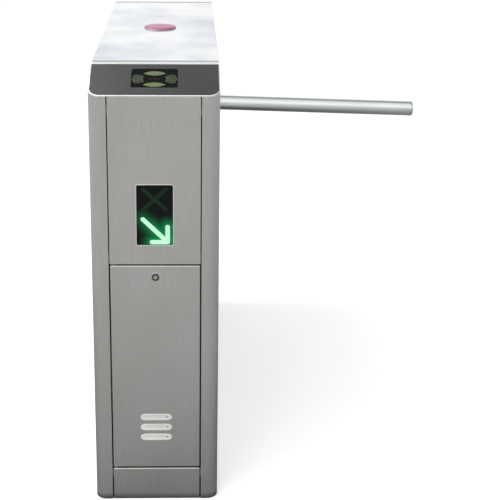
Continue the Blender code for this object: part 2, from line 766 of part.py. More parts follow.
def mechanism_shelf():
    """Shelf across the cabinet that carries the drive, open where the arm swings down."""
    edge = HALF_W - SHEET - GAP
    outline = [(-edge, -SHELF_HALF), (edge, -SHELF_HALF), (edge, -NOTCH_HALF), (NOTCH_X, -NOTCH_HALF)]
    outline += [(NOTCH_X, NOTCH_HALF), (edge, NOTCH_HALF), (edge, SHELF_HALF), (-edge, SHELF_HALF)]
    middle = (SHELF_LOW + SHELF_TOP) / 2
    plate("mechanism_shelf", [outline], SHELF_TOP - SHELF_LOW, (0, 0, middle), (0, 0, 0), PAINTED)


def bearing_plates():
    """Two angle plates either side of the arm, each with a flanged shaft bearing."""
    floor = SHELF_TOP + GAP
    outline = [(PLATE_LEFT, floor), (PLATE_RIGHT, floor), (PLATE_RIGHT, PLATE_TOP), (PLATE_LEFT, PLATE_TOP)]
    thick = PLATE_OUTER - PLATE_INNER
    for tag, side in (("front", -1), ("rear", 1)):
        middle = side * (PLATE_INNER + PLATE_OUTER) / 2
        upright = plate(
            "bearing_plate_" + tag, [outline, circle((PIVOT.x, PIVOT.z), BEARING_R)],
            thick, (0, middle, 0), UPRIGHT, PAINTED,
        )
        near, far = sorted((side * (PLATE_OUTER - SINK), side * FOOT_OUTER))
        low, high = (PLATE_LEFT, near, floor), (PLATE_RIGHT, far, FOOT_TOP - GAP)
        join(upright, box("foot_" + tag, low, high, cutter=True))
        profile = [(FLANGE_R, 0.0), (FLANGE_R, -FLANGE), (SHAFT_R + GAP, -FLANGE)]
        profile += [(SHAFT_R + GAP, thick), (BEARING_R - GAP, thick), (BEARING_R - GAP, 0.0)]
        start = (PIVOT.x, -PLATE_OUTER - GAP, PIVOT.z)
        housing = turned("bearing_" + tag, profile, True, start, "Y", MACHINED)
        if side > 0:
            housing.location.y = PLATE_OUTER + GAP
            housing.rotation_euler = (math.pi / 2, 0.0, 0.0)


def shaft_and_gears():
    """Arm shaft, the spur gear on it, and the motor's pinion."""
    middle = (GEAR_FRONT + GEAR_BACK) / 2
    width = GEAR_BACK - GEAR_FRONT
    cylinder("drive_shaft", SHAFT_R, (PIVOT.x, SHAFT_FRONT, PIVOT.z), SHAFT_LONG, "Y", MACHINED)
    gear = [gear_outline(GEAR_TEETH, 0.0), circle((0, 0), SHAFT_R + GAP)]
    plate("drive_gear", gear, width, (PIVOT.x, middle, PIVOT.z), UPRIGHT, MACHINED)
    outline = [gear_outline(PINION_TEETH, math.pi / PINION_TEETH)]
    pinion = plate("drive_pinion", outline, width, (PINION_X, middle, PIVOT.z), UPRIGHT, BRASS)
    start = (PINION_X, BRACKET_FACE - BRACKET_THICK + 2 * GAP, PIVOT.z)
    join(pinion, cylinder("pinion_shaft", PINION_SHAFT_R, start, PINION_SHAFT_LONG, "Y", cutter=True))


def motor():
    """Geared motor on its angle bracket."""
    floor = SHELF_TOP + GAP
    low = (BRACKET_LEFT, BRACKET_FACE - BRACKET_THICK, floor)
    bracket = box("motor_bracket", low, (BRACKET_RIGHT, BRACKET_FACE, BRACKET_TOP), PAINTED)
    low, high = (BRACKET_LEFT, BRACKET_FOOT, floor), (BRACKET_RIGHT, BRACKET_FACE - SINK, BRACKET_FOOT_TOP)
    join(bracket, box("motor_foot", low, high, cutter=True))
    start = (PINION_X, BRACKET_FACE - CUT_DEEP, PIVOT.z)
    cut(bracket, cylinder("shaft_cutter", 2 * PINION_SHAFT_R, start, 2 * CUT_DEEP, "Y", cutter=True))
    whole = MOTOR_LONG + GEARBOX_LONG
    ease = 0.002
    profile = [(0.0, whole), (GEARBOX_R, whole), (GEARBOX_R, MOTOR_LONG), (MOTOR_R, MOTOR_LONG)]
    profile += [(MOTOR_R, ease), (MOTOR_R - ease, 0.0), (0.0, 0.0)]
    start = BRACKET_FACE - BRACKET_THICK - GAP - whole
    turned("gearmotor", profile, False, (PINION_X, start, PIVOT.z), "Y", MOTOR_BLACK)


def stops():
    """Lever on the shaft, and the bracket with the two rubber buffers that it stops against."""
    centre = (PIVOT.x, PIVOT.z)
    reach = math.degrees(math.asin(LEVER_HALF / LEVER_BOSS_R))
    outline = arc(centre, LEVER_BOSS_R, reach - 180, 180 - reach, ROUND)
    tip = PIVOT.x - LEVER_LONG
    outline += [(tip, PIVOT.z + LEVER_HALF), (tip, PIVOT.z - LEVER_HALF)]
    hole = circle(centre, SHAFT_R + GAP)
    plate("stop_lever", [outline, hole], STOP_THICK, (0, STOP_Y, 0), UPRIGHT, MACHINED)
    points = [(STOP_LEFT, FOOT_TOP), (PLATE_RIGHT, FOOT_TOP), (PLATE_RIGHT, COLUMN_TOP)]
    points += [(COLUMN_LEFT, COLUMN_TOP), (COLUMN_LEFT, STOP_FLOOR), (STOP_STEP_RIGHT, STOP_FLOOR)]
    points += [(STOP_STEP_RIGHT, STOP_STEP_TOP), (STOP_LEFT, STOP_STEP_TOP)]
    plate("stop_bracket", [points], STOP_THICK, (0, STOP_Y, 0), UPRIGHT, PAINTED)
    low = STOP_STEP_TOP + GAP
    length = PIVOT.z - LEVER_HALF - GAP - low
    cylinder("stop_buffer_raised", BUFFER_R, (BUFFER_X, STOP_Y, low), length, "Z", RUBBER)
    near = PIVOT.x + LEVER_HALF + BUFFER_PLAY
    length = COLUMN_LEFT - GAP - near
    cylinder("stop_buffer_lowered", BUFFER_R, (near, STOP_Y, BUFFER_Z), length, "X", RUBBER)


def brake_and_encoder():
    """Holding brake, and the slotted encoder that reads the arm's angle."""
    bore = SHAFT_R + GAP
    floor = SHELF_TOP + GAP
    ring("brake_rotor", ROTOR_R, bore, (PIVOT.x, ROTOR_Y, PIVOT.z), ROTOR_THICK, "Y", MACHINED)
    start = (PIVOT.x, BRAKE_Y, PIVOT.z)
    brake = ring("brake_body", BRAKE_R, bore + BRAKE_PLAY, start, BRAKE_LONG, "Y", MOTOR_BLACK)
    low, high = BRAKE_FOOT
    join(brake, box("brake_foot", (*low, floor), (*high, BRAKE_FOOT_TOP), cutter=True))
    ring("encoder_disc", DISC_R, bore, (PIVOT.x, DISC_Y, PIVOT.z), DISC_THICK, "Y", WHITE_PLASTIC)
    low, high = SENSOR_PLAN
    sensor = box("encoder_sensor", (*low, floor), (*high, SENSOR_TOP), BLACK_PLASTIC)
    cut(sensor, box("sensor_slot", *SENSOR_SLOT, cutter=True))


# --- Electronics ------------------------------------------------------------------------------------

def on_tray(name, span, low_x, high_x, finish=None, cutter=False):
    """A block on the equipment tray, from its (y, z) corners and its reach in X."""
    low, high = span
    return box(name, (low_x, *low), (high_x, *high), finish, cutter=cutter)


def electronics():
    """Equipment tray on the outer side panel with the supply, the control board and the counter."""
    back = -HALF_W + SHEET + GAP
    face = back + TRAY_DEEP
    low, high = TRAY_SPAN
    open_tray("equipment_tray", (back, *low), (face, *high), [(-1, 0, 0)], PAINTED)
    front = face + GAP
    on_tray("power_supply", SUPPLY_SPAN, front, front + SUPPLY_DEEP, BRIGHT)
    board = on_tray("control_board", BOARD_SPAN, front, front + BOARD_DEEP, BOARD_GREEN)
    root = front + BOARD_DEEP - SINK
    (low_y, low_z), (high_y, high_z) = RELAY_SPAN
    for count in range(RELAY_COUNT):
        step = RELAY_PITCH * count
        span = ((low_y + step, low_z), (high_y + step, high_z))
        join(board, on_tray(f"relay_{count}", span, root, front + RELAY_TOP, cutter=True))
    join(board, on_tray("terminals", TERMINAL_SPAN, root, front + TERMINAL_TOP, cutter=True))
    on_tray("counter_module", COUNTER_SPAN, front, front + COUNTER_DEEP, WHITE_PLASTIC)


def build():
    """Make every part of the turnstile."""
    base()
    side_panels()
    lid()
    cabinet_end("front", 0.0)
    cabinet_end("rear", math.pi)
    arm()
    arm_channel()
    mechanism_shelf()
    bearing_plates()
    shaft_and_gears()
    motor()
    stops()
    brake_and_encoder()
    electronics()


build()
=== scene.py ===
"""Looks of the visitor counter turnstile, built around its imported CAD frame.

Every place and size comes from the frame's nodes. Lengths are in metres, +Z is up, -Y is the front end
and +X is the lane side. The two ends are alike: the rear one is the front turned by 180 degrees.
"""

import math

import bmesh
import bpy
from mathutils import Matrix, Vector


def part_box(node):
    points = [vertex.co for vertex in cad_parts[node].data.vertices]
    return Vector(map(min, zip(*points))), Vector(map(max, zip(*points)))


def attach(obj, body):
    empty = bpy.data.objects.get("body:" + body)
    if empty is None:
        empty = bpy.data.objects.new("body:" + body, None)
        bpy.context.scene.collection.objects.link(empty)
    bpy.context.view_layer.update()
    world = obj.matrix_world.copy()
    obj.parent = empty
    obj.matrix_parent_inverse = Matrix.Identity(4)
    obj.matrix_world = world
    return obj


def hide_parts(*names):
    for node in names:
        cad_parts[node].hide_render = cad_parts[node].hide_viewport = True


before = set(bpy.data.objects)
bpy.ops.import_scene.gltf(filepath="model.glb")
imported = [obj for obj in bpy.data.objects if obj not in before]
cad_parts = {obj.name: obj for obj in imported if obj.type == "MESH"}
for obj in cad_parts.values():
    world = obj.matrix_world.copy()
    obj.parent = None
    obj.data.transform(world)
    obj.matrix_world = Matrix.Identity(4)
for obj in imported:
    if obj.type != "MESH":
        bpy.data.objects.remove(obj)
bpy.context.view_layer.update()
bpy.context.scene.view_settings.view_transform = "Standard"

# --- Sizes read from the frame ----------------------------------------------------------------------

GAP = 0.0003
SHEET = 0.002
SIDE_LOW, SIDE_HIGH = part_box("side_panel_right")
HALF_W = SIDE_HIGH.x
HALF_L = SIDE_HIGH.y
COLUMN_INNER = SIDE_LOW.x
CORNER_R = 0.025
LID_LOW, LID_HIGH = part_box("lid")
HEIGHT = LID_HIGH.z
HEADER_LOW, HEADER_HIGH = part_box("header_strip_front")
UPPER_LOW, UPPER_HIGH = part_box("upper_panel_front")
PLINTH_LOW, PLINTH_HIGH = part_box("plinth_panel_front")
DOOR_LOW, DOOR_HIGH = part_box("door_front")
WINDOW_LOW, WINDOW_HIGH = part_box("display_window_front")
LOCK_LOW, LOCK_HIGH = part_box("lock_barrel_front")
BEZEL_LOW, BEZEL_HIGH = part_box("status_bezel")
LENS_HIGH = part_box("status_lens")[1]
SHAFT_LOW, SHAFT_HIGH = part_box("drive_shaft")

PIVOT = Vector(((SHAFT_LOW.x + SHAFT_HIGH.x) / 2, 0.0, (SHAFT_LOW.z + SHAFT_HIGH.z) / 2))
LOCK_Z = (LOCK_LOW.z + LOCK_HIGH.z) / 2
FACE_TOP = 0.9555
SLOPE_RUN = 0.118
SLOPE_RISE = HEIGHT - FACE_TOP
SLOPE_LENGTH = math.hypot(SLOPE_RUN, SLOPE_RISE)
SLOPE_ANGLE = math.atan2(SLOPE_RISE, SLOPE_RUN)
SLOPE_PLATE = 0.003
SLOT_HALF, SLOT_LOW, SLOT_HIGH, SLOT_R = 0.023, 0.235, 0.835, 0.008
ARM_DROOP = math.radians(1.72)
ARM_R, ARM_WALL = 0.019, 0.002
ARM_START, ARM_END, ARM_TIP = 0.032, 0.553, 0.559
READER_HALF, READER_NEAR, READER_FAR = 0.050, 0.0302, 0.1052
LOUVRE_HEIGHTS = (0.159, 0.184, 0.209)

ENDS = {"front": 0.0, "rear": math.pi}


# --- Materials --------------------------------------------------------------------------------------

def shader_of(made):
    """The Principled shader of a material."""
    return made.node_tree.nodes["Principled BSDF"]


def new_material(name, roughness, metallic):
    """An empty Principled material."""
    made = bpy.data.materials.new(name)
    made.use_nodes = True
    shader = shader_of(made)
    shader.inputs["Roughness"].default_value = roughness
    shader.inputs["Metallic"].default_value = metallic
    return made


def add(made, kind, **settings):
    """A new shader node with its settings."""
    node = made.node_tree.nodes.new(kind)
    for key, value in settings.items():
        setattr(node, key, value)
    return node


def join(made, source, output, target, socket):
    """Link one node's output to another's input."""
    made.node_tree.links.new(source.outputs[output], target.inputs[socket])


def noise(made, scale, stretch=(1.0, 1.0, 1.0), detail=3.0):
    """A noise texture in object space, finer along the axes with a larger stretch."""
    place = add(made, "ShaderNodeTexCoord")
    mapping = add(made, "ShaderNodeMapping")
    mapping.inputs["Scale"].default_value = stretch
    texture = add(made, "ShaderNodeTexNoise")
    texture.inputs["Scale"].default_value = scale
    texture.inputs["Detail"].default_value = detail
    join(made, place, "Object", mapping, "Vector")
    join(made, mapping, "Vector", texture, "Vector")
    return texture


def ramp(made, source, low, high, start=0.3, end=0.7):
    """A colour ramp between two colours, driven by a texture."""
    node = add(made, "ShaderNodeValToRGB")
    node.color_ramp.elements[0].position = start
    node.color_ramp.elements[0].color = (*low, 1.0)
    node.color_ramp.elements[1].position = end
    node.color_ramp.elements[1].color = (*high, 1.0)
    join(made, source, "Fac", node, "Fac")
    return node


def span(made, source, low, high):
    """A number between low and high, driven by a texture."""
    node = add(made, "ShaderNodeMapRange")
    node.inputs["From Min"].default_value = 0.3
    node.inputs["From Max"].default_value = 0.7
    node.inputs["To Min"].default_value = low
    node.inputs["To Max"].default_value = high
    join(made, source, "Fac", node, "Value")
    return node


def bump(made, source, strength, distance=0.001):
    """Bump from a texture into the shader's normal."""
    node = add(made, "ShaderNodeBump")
    node.inputs["Strength"].default_value = strength
    node.inputs["Distance"].default_value = distance
    join(made, source, "Fac", node, "Height")
    join(made, node, "Normal", shader_of(made), "Normal")
    return node


def scaled(colour, factor):
    """A colour made lighter or darker."""
    return tuple(min(1.0, channel * factor) for channel in colour)


def mixed(made, first, second, output="Color"):
    """Two tones multiplied together; output names the first one's socket."""
    node = add(made, "ShaderNodeMix", data_type="RGBA", blend_type="MULTIPLY")
    node.inputs["Factor"].default_value = 1.0
    join(made, first, output, node, "A")
    join(made, second, "Color", node, "B")
    return node


def greys(made, source, socket, stops, top=1.0):
    """A ramp of grey levels, each divided by top."""
    node = add(made, "ShaderNodeValToRGB")
    elements = node.color_ramp.elements
    while len(elements) < len(stops):
        elements.new(0.5)
    for element, (position, level) in zip(elements, stops):
        element.position = position
        element.color = (level / top, level / top, level / top, 1.0)
    join(made, source, socket, node, "Fac")
    return node


def fill(made, tone, output, texture, rough):
    """Plug a tone and a textured roughness into a material's shader."""
    join(made, tone, output, shader_of(made), "Base Color")
    join(made, span(made, texture, *rough), "Result", shader_of(made), "Roughness")


def brushed(name, colour, rough=(0.30, 0.42), grain=(500.0, 500.0, 6.0), depth=0.06, cloud=6.0, foot=False):
    """Brushed metal: streaks along the short axis of grain, over soft clouds of tone; with foot, painted
    shade over the lowest centimetre.
    """
    made = new_material(name, rough[0], 1.0)
    streaks = noise(made, 1.0, grain, 4.0)
    clouds = noise(made, cloud, (1.0, 1.0, 0.5), 2.0)
    fine = ramp(made, streaks, scaled(colour, 0.94), scaled(colour, 1.05))
    broad = ramp(made, clouds, (0.91, 0.92, 0.90), (1.0, 1.0, 1.0))
    tone = mixed(made, fine, broad)
    # With foot, paint shade over the lowest centimetre.
    if foot:
        tone = painted_foot_shade(made, tone)
    fill(made, tone, "Result", streaks, rough)
    bump(made, streaks, depth, 0.0004)
    return made


def painted_foot_shade(made, tone):
    """Painted shade: darken a tone over the lowest centimetre, where the metal meets the floor."""
    place = add(made, "ShaderNodeTexCoord")
    parts = add(made, "ShaderNodeSeparateXYZ")
    join(made, place, "Object", parts, "Vector")
    height = add(made, "ShaderNodeMapRange")
    height.inputs["From Min"].default_value = 0.002
    height.inputs["From Max"].default_value = 0.015
    height.inputs["To Min"].default_value = 0.0
    height.inputs["To Max"].default_value = 1.0
    join(made, parts, "Z", height, "Value")
    shade = add(made, "ShaderNodeValToRGB")
    shade.color_ramp.elements[0].color = (0.36, 0.36, 0.35, 1.0)
    shade.color_ramp.elements[1].color = (1.0, 1.0, 1.0, 1.0)
    join(made, height, "Result", shade, "Fac")
    return mixed(made, tone, shade, "Result")


def polished(name, colour, rough=(0.08, 0.15)):
    """Polished sheet: slight waves, and cloudy patches of cooler tone painted in as a reflection of the
    surroundings.
    """
    made = new_material(name, rough[0], 1.0)
    waves = noise(made, 7.0, (1.0, 0.6, 1.0), 3.0)
    clouds = noise(made, 4.6, (1.0, 0.8, 1.0), 3.5)
    # Painted reflection: cooler, darker cloudy patches in the base colour.
    painted_reflection = ramp(made, clouds, (0.56, 0.60, 0.69), colour, 0.36, 0.62)
    grime = noise(made, 14.0, (1.0, 0.5, 1.0), 4.0)
    warm = ramp(made, grime, (0.90, 0.92, 0.90), (1.0, 1.0, 1.0), 0.35, 0.55)
    tone = mixed(made, painted_reflection, warm)
    fill(made, tone, "Result", clouds, rough)
    bump(made, waves, 0.05, 0.02)
    return made


def coated(name, colour, rough=(0.42, 0.55), grain=900.0, depth=0.10, shine=0.5, metallic=0.0):
    """Powder coat, paint or moulded plastic with a fine texture."""
    made = new_material(name, rough[0], metallic)
    fine = noise(made, grain, detail=2.0)
    broad = noise(made, 12.0, detail=2.0)
    tone = ramp(made, broad, scaled(colour, 0.88), scaled(colour, 1.10))
    fill(made, tone, "Color", fine, rough)
    bump(made, fine, depth, 0.0003)
    shader_of(made).inputs["Specular IOR Level"].default_value = shine
    return made


def lit(name, colour, strength):
    """A lit lens: emission with a slightly uneven glow."""
    made = new_material(name, 0.35, 0.0)
    cells = noise(made, 260.0, detail=1.0)
    glow = ramp(made, cells, scaled(colour, 0.88), colour)
    shader = shader_of(made)
    join(made, glow, "Color", shader, "Emission Color")
    dark = ramp(made, cells, (0.02, 0.02, 0.02), (0.04, 0.04, 0.04))
    join(made, dark, "Color", shader, "Base Color")
    shader.inputs["Emission Strength"].default_value = strength
    shader.inputs["Specular IOR Level"].default_value = 0.1
    return made


def glow_panel(name, base, halo, strength):
    """Smoked acrylic whose halo follows the piece's own glow attribute."""
    made = new_material(name, 0.16, 0.0)
    shader = shader_of(made)
    speckle = noise(made, 420.0, detail=2.0)
    tone = ramp(made, speckle, scaled(base, 0.6), base)
    fill(made, tone, "Color", speckle, (0.12, 0.22))
    glow = add(made, "ShaderNodeAttribute", attribute_name="glow")
    colour = ramp(made, glow, (0.0, 0.0, 0.0), halo, 0.02, 1.0)
    join(made, colour, "Color", shader, "Emission Color")
    shader.inputs["Emission Strength"].default_value = strength
    shader.inputs["Specular IOR Level"].default_value = 0.12
    return made


def lens_red(name):
    """Frosted red status lens with fine rings round its middle."""
    made = new_material(name, 0.30, 0.0)
    shader = shader_of(made)
    place = add(made, "ShaderNodeTexCoord")
    rings = add(made, "ShaderNodeTexWave", wave_type="RINGS", rings_direction="Z", wave_profile="SIN")
    rings.inputs["Scale"].default_value = 90.0
    join(made, place, "Object", rings, "Vector")
    tone = ramp(made, rings, (0.37, 0.12, 0.22), (0.46, 0.17, 0.28), 0.0, 1.0)
    join(made, tone, "Color", shader, "Base Color")
    bump(made, rings, 0.25, 0.0004)
    shader.inputs["Subsurface Weight"].default_value = 0.15
    shader.inputs["Specular IOR Level"].default_value = 0.14
    return made


# The uprights' steel carries painted shade along its foot, where it meets the floor.
STEEL = brushed(
    "brushed_stainless_upright", (0.60, 0.60, 0.585), (0.30, 0.40), (620.0, 620.0, 14.0), 0.02, foot=True
)
LID_STEEL = polished("polished_stainless_lid", (0.93, 0.94, 0.95))
STRIP_STEEL = brushed("polished_strip", (0.88, 0.89, 0.90), (0.16, 0.24), (9.0, 420.0, 420.0), 0.02)
ARM_STEEL = brushed("polished_arm_tube", (0.80, 0.82, 0.83), (0.12, 0.18), (6.0, 420.0, 420.0), 0.0008)
SLOPE_GREY = coated("dark_slope_satin", (0.040, 0.041, 0.038), (0.32, 0.40), 700.0, 0.04, 0.5)
# Lighter copy of the steel: painted highlight for bright edges.
EDGE_HIGHLIGHT_STEEL = brushed("painted_edge_highlight", (0.90, 0.90, 0.89), (0.25, 0.35), (60.0, 60.0, 60.0), 0.02)
# Darker steel for the strip of painted shade at the lid's edges.
SHADE_STRIP_STEEL = brushed("painted_lid_shade", (0.38, 0.39, 0.40), (0.24, 0.34), (9.0, 420.0, 420.0), 0.02)
BEZEL_STEEL = brushed("satin_bezel", (0.46, 0.42, 0.45), (0.36, 0.46), (120.0, 120.0, 120.0), 0.03)
LOCK_STEEL = brushed("plated_lock", (0.55, 0.55, 0.54), (0.26, 0.36), (200.0, 200.0, 200.0), 0.03)
# Louvres coloured lighter than the door sheet: painted highlight of the light they catch.
LOUVRE_HIGHLIGHT = coated("painted_highlight_louvre", (0.84, 0.84, 0.82), (0.30, 0.42), 500.0, 0.03, 0.5, 0.1)
MACHINED = brushed("machined_steel_turned", (0.50, 0.50, 0.50), (0.22, 0.34), (300.0, 300.0, 300.0), 0.05)
BRASS = brushed("machined_brass", (0.62, 0.45, 0.18), (0.20, 0.32), (300.0, 300.0, 300.0), 0.05)
CASE_STEEL = brushed("zinc_plated_case", (0.55, 0.57, 0.58), (0.30, 0.45), (40.0, 40.0, 40.0), 0.04)
PAINTED = coated("grey_powder_coat", (0.17, 0.175, 0.18))
BLACK_PLASTIC = coated("black_moulded", (0.020, 0.020, 0.021), (0.40, 0.55))
READER_BLACK = coated("reader_black_acrylic", (0.004, 0.006, 0.004), (0.10, 0.16), 60.0, 0.01, 0.08)
LENS_OLIVE = coated("reader_olive_lens", (0.145, 0.185, 0.090), (0.30, 0.42), 300.0, 0.05, 0.15)
LOBE_GREY = coated("reader_grey_lobe", (0.030, 0.036, 0.022), (0.35, 0.50), 300.0, 0.05, 0.12)
LOBE_RIB = coated("reader_lobe_rib", (0.105, 0.125, 0.080), (0.35, 0.50), 300.0, 0.05, 0.15)
RUBBER = coated("black_rubber", (0.022, 0.022, 0.022), (0.70, 0.85), 500.0, 0.15)
MOTOR_BLACK = coated("motor_enamel", (0.030, 0.030, 0.034), (0.30, 0.42))
BOARD_GREEN = coated("solder_mask", (0.012, 0.11, 0.045), (0.30, 0.42), 300.0, 0.05)
WHITE_PLASTIC = coated("white_moulded", (0.62, 0.62, 0.60), (0.38, 0.50))
DIM_LED = coated("unlit_segment", (0.009, 0.026, 0.016), (0.22, 0.34), 300.0, 0.04, 0.12)
# Dark fill for painted shade in slits, the lock's bore and its keyway.
RECESS_SHADOW = coated("painted_recess_shadow", (0.012, 0.012, 0.012), (0.6, 0.8), 500.0, 0.05, 0.2)
LED_GREEN = lit("lit_green_segment", (0.56, 1.0, 0.70), 1.05)
LED_RED = lit("lit_red_segment", (1.0, 0.26, 0.18), 1.05)
GREEN_HALO = glow_panel("display_glass_green", (0.004, 0.007, 0.005), (0.0, 0.38, 0.11), 1.0)
RED_HALO = glow_panel("display_glass_red", (0.008, 0.007, 0.007), (0.34, 0.03, 0.01), 1.0)
STATUS_RED = lens_red("status_lens_red")


# --- Mesh helpers -----------------------------------------------------------------------------------

def turn_z(angle):
    """Rotation about the cabinet's upright axis, for the rear end."""
    return Matrix.Rotation(angle, 4, "Z")


def show(name, mesh, finish, replaced=(), turn=None, body="cabinet"):
    """Place a finished mesh in the scene, with its material, slot and body."""
    if turn is not None:
        mesh.transform(turn)
    mesh.shade_smooth()
    mesh.set_sharp_from_angle(angle=math.radians(35.0))
    mesh.materials.clear()
    mesh.materials.append(finish)
    piece = bpy.data.objects.new(name, mesh)
    bpy.context.scene.collection.objects.link(piece)
    even = piece.modifiers.new("even_shading", "WEIGHTED_NORMAL")
    even.keep_sharp = True
    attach(piece, body)
    if replaced:
        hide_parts(*replaced)
    return piece


def to_mesh(name, shape):
    """Turn a bmesh into a mesh."""
    bmesh.ops.recalc_face_normals(shape, faces=shape.faces)
    mesh = bpy.data.meshes.new(name)
    shape.to_mesh(mesh)
    shape.free()
    return mesh


def baked(name, thing):
    """The evaluated mesh of an object, which is then removed."""
    bpy.context.view_layer.update()
    view = bpy.context.evaluated_depsgraph_get()
    mesh = bpy.data.meshes.new_from_object(thing.evaluated_get(view))
    mesh.name = name
    mesh.transform(thing.matrix_world)
    bpy.data.objects.remove(thing, do_unlink=True)
    return mesh


def helper(name, data):
    """A temporary object."""
    thing = bpy.data.objects.new(name, data)
    bpy.context.scene.collection.objects.link(thing)
    return thing


def arc(centre, radius, start, end, steps=12):
    """Points along an arc, with angles in degrees."""
    points = []
    for step in range(steps + 1):
        angle = math.radians(start + (end - start) * step / steps)
        points.append((centre[0] + radius * math.cos(angle), centre[1] + radius * math.sin(angle)))
    return points


def circle(centre, radius, steps):
    """Points round a whole circle."""
    return arc(centre, radius, 0, 360, steps)[:-1]


def rounded(low, high, radius, steps=8):
    """Points round a rectangle with rounded corners."""
    return (
        arc((high[0] - radius, high[1] - radius), radius, 0, 90, steps)
        + arc((low[0] + radius, high[1] - radius), radius, 90, 180, steps)
        + arc((low[0] + radius, low[1] + radius), radius, 180, 270, steps)
        + arc((high[0] - radius, low[1] + radius), radius, 270, 360, steps)
    )


def obround(centre, length, width, angle=0.0, steps=12):
    """Points round a bar with half-round ends, turned by an angle in degrees."""
    reach = (length - width) / 2
    turn = math.radians(angle)
    points = arc((reach, 0.0), width / 2, -90, 90, steps) + arc((-reach, 0.0), width / 2, 90, 270, steps)
    return [
        (
            centre[0] + x * math.cos(turn) - y * math.sin(turn),
            centre[1] + x * math.sin(turn) + y * math.cos(turn),
        )
        for x, y in points
    ]


def plate(name, outlines, thickness, bevel, matrix, bevel_steps=2):
    """A flat plate with rounded edges, from an outline and its holes; its front is local +Z."""
    curve = bpy.data.curves.new(name, "CURVE")
    curve.dimensions = "2D"
    curve.fill_mode = "BOTH"
    curve.extrude = thickness / 2 - bevel
    curve.bevel_depth = bevel
    curve.bevel_resolution = bevel_steps
    curve.offset = -bevel
    for outline in outlines:
        spline = curve.splines.new("POLY")
        spline.points.add(len(outline) - 1)
        for point, (across, along) in zip(spline.points, outline):
            point.co = (across, along, 0.0, 1.0)
        spline.use_cyclic_u = True
    mesh = baked(name, helper(name, curve))
    shape = bmesh.new()
    shape.from_mesh(mesh)
    bmesh.ops.remove_doubles(shape, verts=shape.verts, dist=0.000005)
    bmesh.ops.recalc_face_normals(shape, faces=shape.faces)
    shape.to_mesh(mesh)
    shape.free()
    mesh.transform(matrix)
    return mesh


def facing_front(y):
    """Matrix that stands a flat plate up at a depth, facing -Y: its x stays and its y becomes height."""
    return Matrix.Translation((0, y, 0)) @ Matrix.Rotation(math.pi / 2, 4, "X")


def on_slope(lift):
    """Matrix that lays a plate on the front slope, lifted along its normal."""
    tilt = Matrix.Translation((0, -HALF_L, FACE_TOP)) @ Matrix.Rotation(SLOPE_ANGLE, 4, "X")
    return tilt @ Matrix.Translation((0, 0, lift))


def turned(name, profile, matrix, steps=64):
    """A turned mesh: profile holds (radius, height) pairs, made round local Z."""
    shape = bmesh.new()
    rings = []
    for radius, height in profile:
        if radius < 1e-6:
            rings.append([shape.verts.new((0, 0, height))])
            continue
        rings.append([
            shape.verts.new((
                radius * math.cos(2 * math.pi * k / steps), radius * math.sin(2 * math.pi * k / steps), height
            ))
            for k in range(steps)
        ])
    for first, second in zip(rings, rings[1:]):
        for k in range(steps):
            after = (k + 1) % steps
            corners = [first[k % len(first)], second[k % len(second)]]
            corners += [second[after % len(second)], first[after % len(first)]]
            unique = list(dict.fromkeys(corners))
            if len(unique) > 2:
                shape.faces.new(unique)
    mesh = to_mesh(name, shape)
    mesh.transform(matrix)
    return mesh


def block_mesh(name, low, high, bevel=0.0006, steps=2):
    """A block with rounded edges."""
    low, high = Vector(low), Vector(high)
    shape = bmesh.new()
    bmesh.ops.create_cube(shape, size=1.0)
    bmesh.ops.scale(shape, vec=high - low, verts=shape.verts)
    bmesh.ops.translate(shape, vec=(low + high) / 2, verts=shape.verts)
    if bevel:
        bmesh.ops.bevel(
            shape, geom=list(shape.edges), offset=bevel, segments=steps, profile=0.5, affect="EDGES"
        )
    return to_mesh(name, shape)


def joined(name, meshes):
    """Several meshes as one."""
    shape = bmesh.new()
    for mesh in meshes:
        shape.from_mesh(mesh)
    made = bpy.data.meshes.new(name)
    shape.to_mesh(made)
    shape.free()
    return made


def folded_tray(name, low, high, open_way, bend, thickness=SHEET):
    """A folded sheet tray with one open side and rounded bends, made between two corners."""
    low, high = Vector(low), Vector(high)
    shape = bmesh.new()
    bmesh.ops.create_cube(shape, size=1.0)
    bmesh.ops.scale(shape, vec=high - low, verts=shape.verts)
    bmesh.ops.translate(shape, vec=(low + high) / 2, verts=shape.verts)
    way = Vector(open_way)
    shape.normal_update()
    spare = [face for face in shape.faces if face.normal.dot(way) > 0.9]
    bmesh.ops.delete(shape, geom=spare, context="FACES_ONLY")
    bends = [edge for edge in shape.edges if len(edge.link_faces) == 2]
    bmesh.ops.bevel(shape, geom=bends, offset=bend, segments=5, profile=0.5, affect="EDGES")
    bmesh.ops.recalc_face_normals(shape, faces=shape.faces)
    middle = (low + high) / 2
    shape.normal_update()
    face = max(shape.faces, key=lambda f: f.calc_area())
    if face.normal.dot(face.calc_center_median() - middle) < 0:
        bmesh.ops.reverse_faces(shape, faces=shape.faces)
    mesh = bpy.data.meshes.new(name)
    shape.to_mesh(mesh)
    shape.free()
    return thickened(name, mesh, thickness)


def thickened(name, mesh, thickness, edge=0.0003):
    """Give an open surface its sheet thickness and slightly eased edges."""
    thing = helper(name, mesh)
    solid = thing.modifiers.new("thickness", "SOLIDIFY")
    solid.thickness = thickness
    solid.offset = -1.0
    solid.use_even_offset = True
    ease = thing.modifiers.new("ease", "BEVEL")
    ease.width = edge
    ease.segments = 2
    ease.limit_method = "ANGLE"
    ease.angle_limit = math.radians(50)
    return baked(name, thing)


def cut_out(mesh, outlines, depth, matrix):
    """Cut straight holes through a mesh, each the shape of an outline."""
    thing = helper("cut", mesh)
    holes = [plate("hole", [outline], depth, 0.00005, matrix, 1) for outline in outlines]
    tool = helper("tool", joined("tool", holes))
    step = thing.modifiers.new("cut", "BOOLEAN")
    step.operation = "DIFFERENCE"
    step.solver = "EXACT"
    step.object = tool
    done = baked(mesh.name, thing)
    bpy.data.objects.remove(tool, do_unlink=True)
    return done


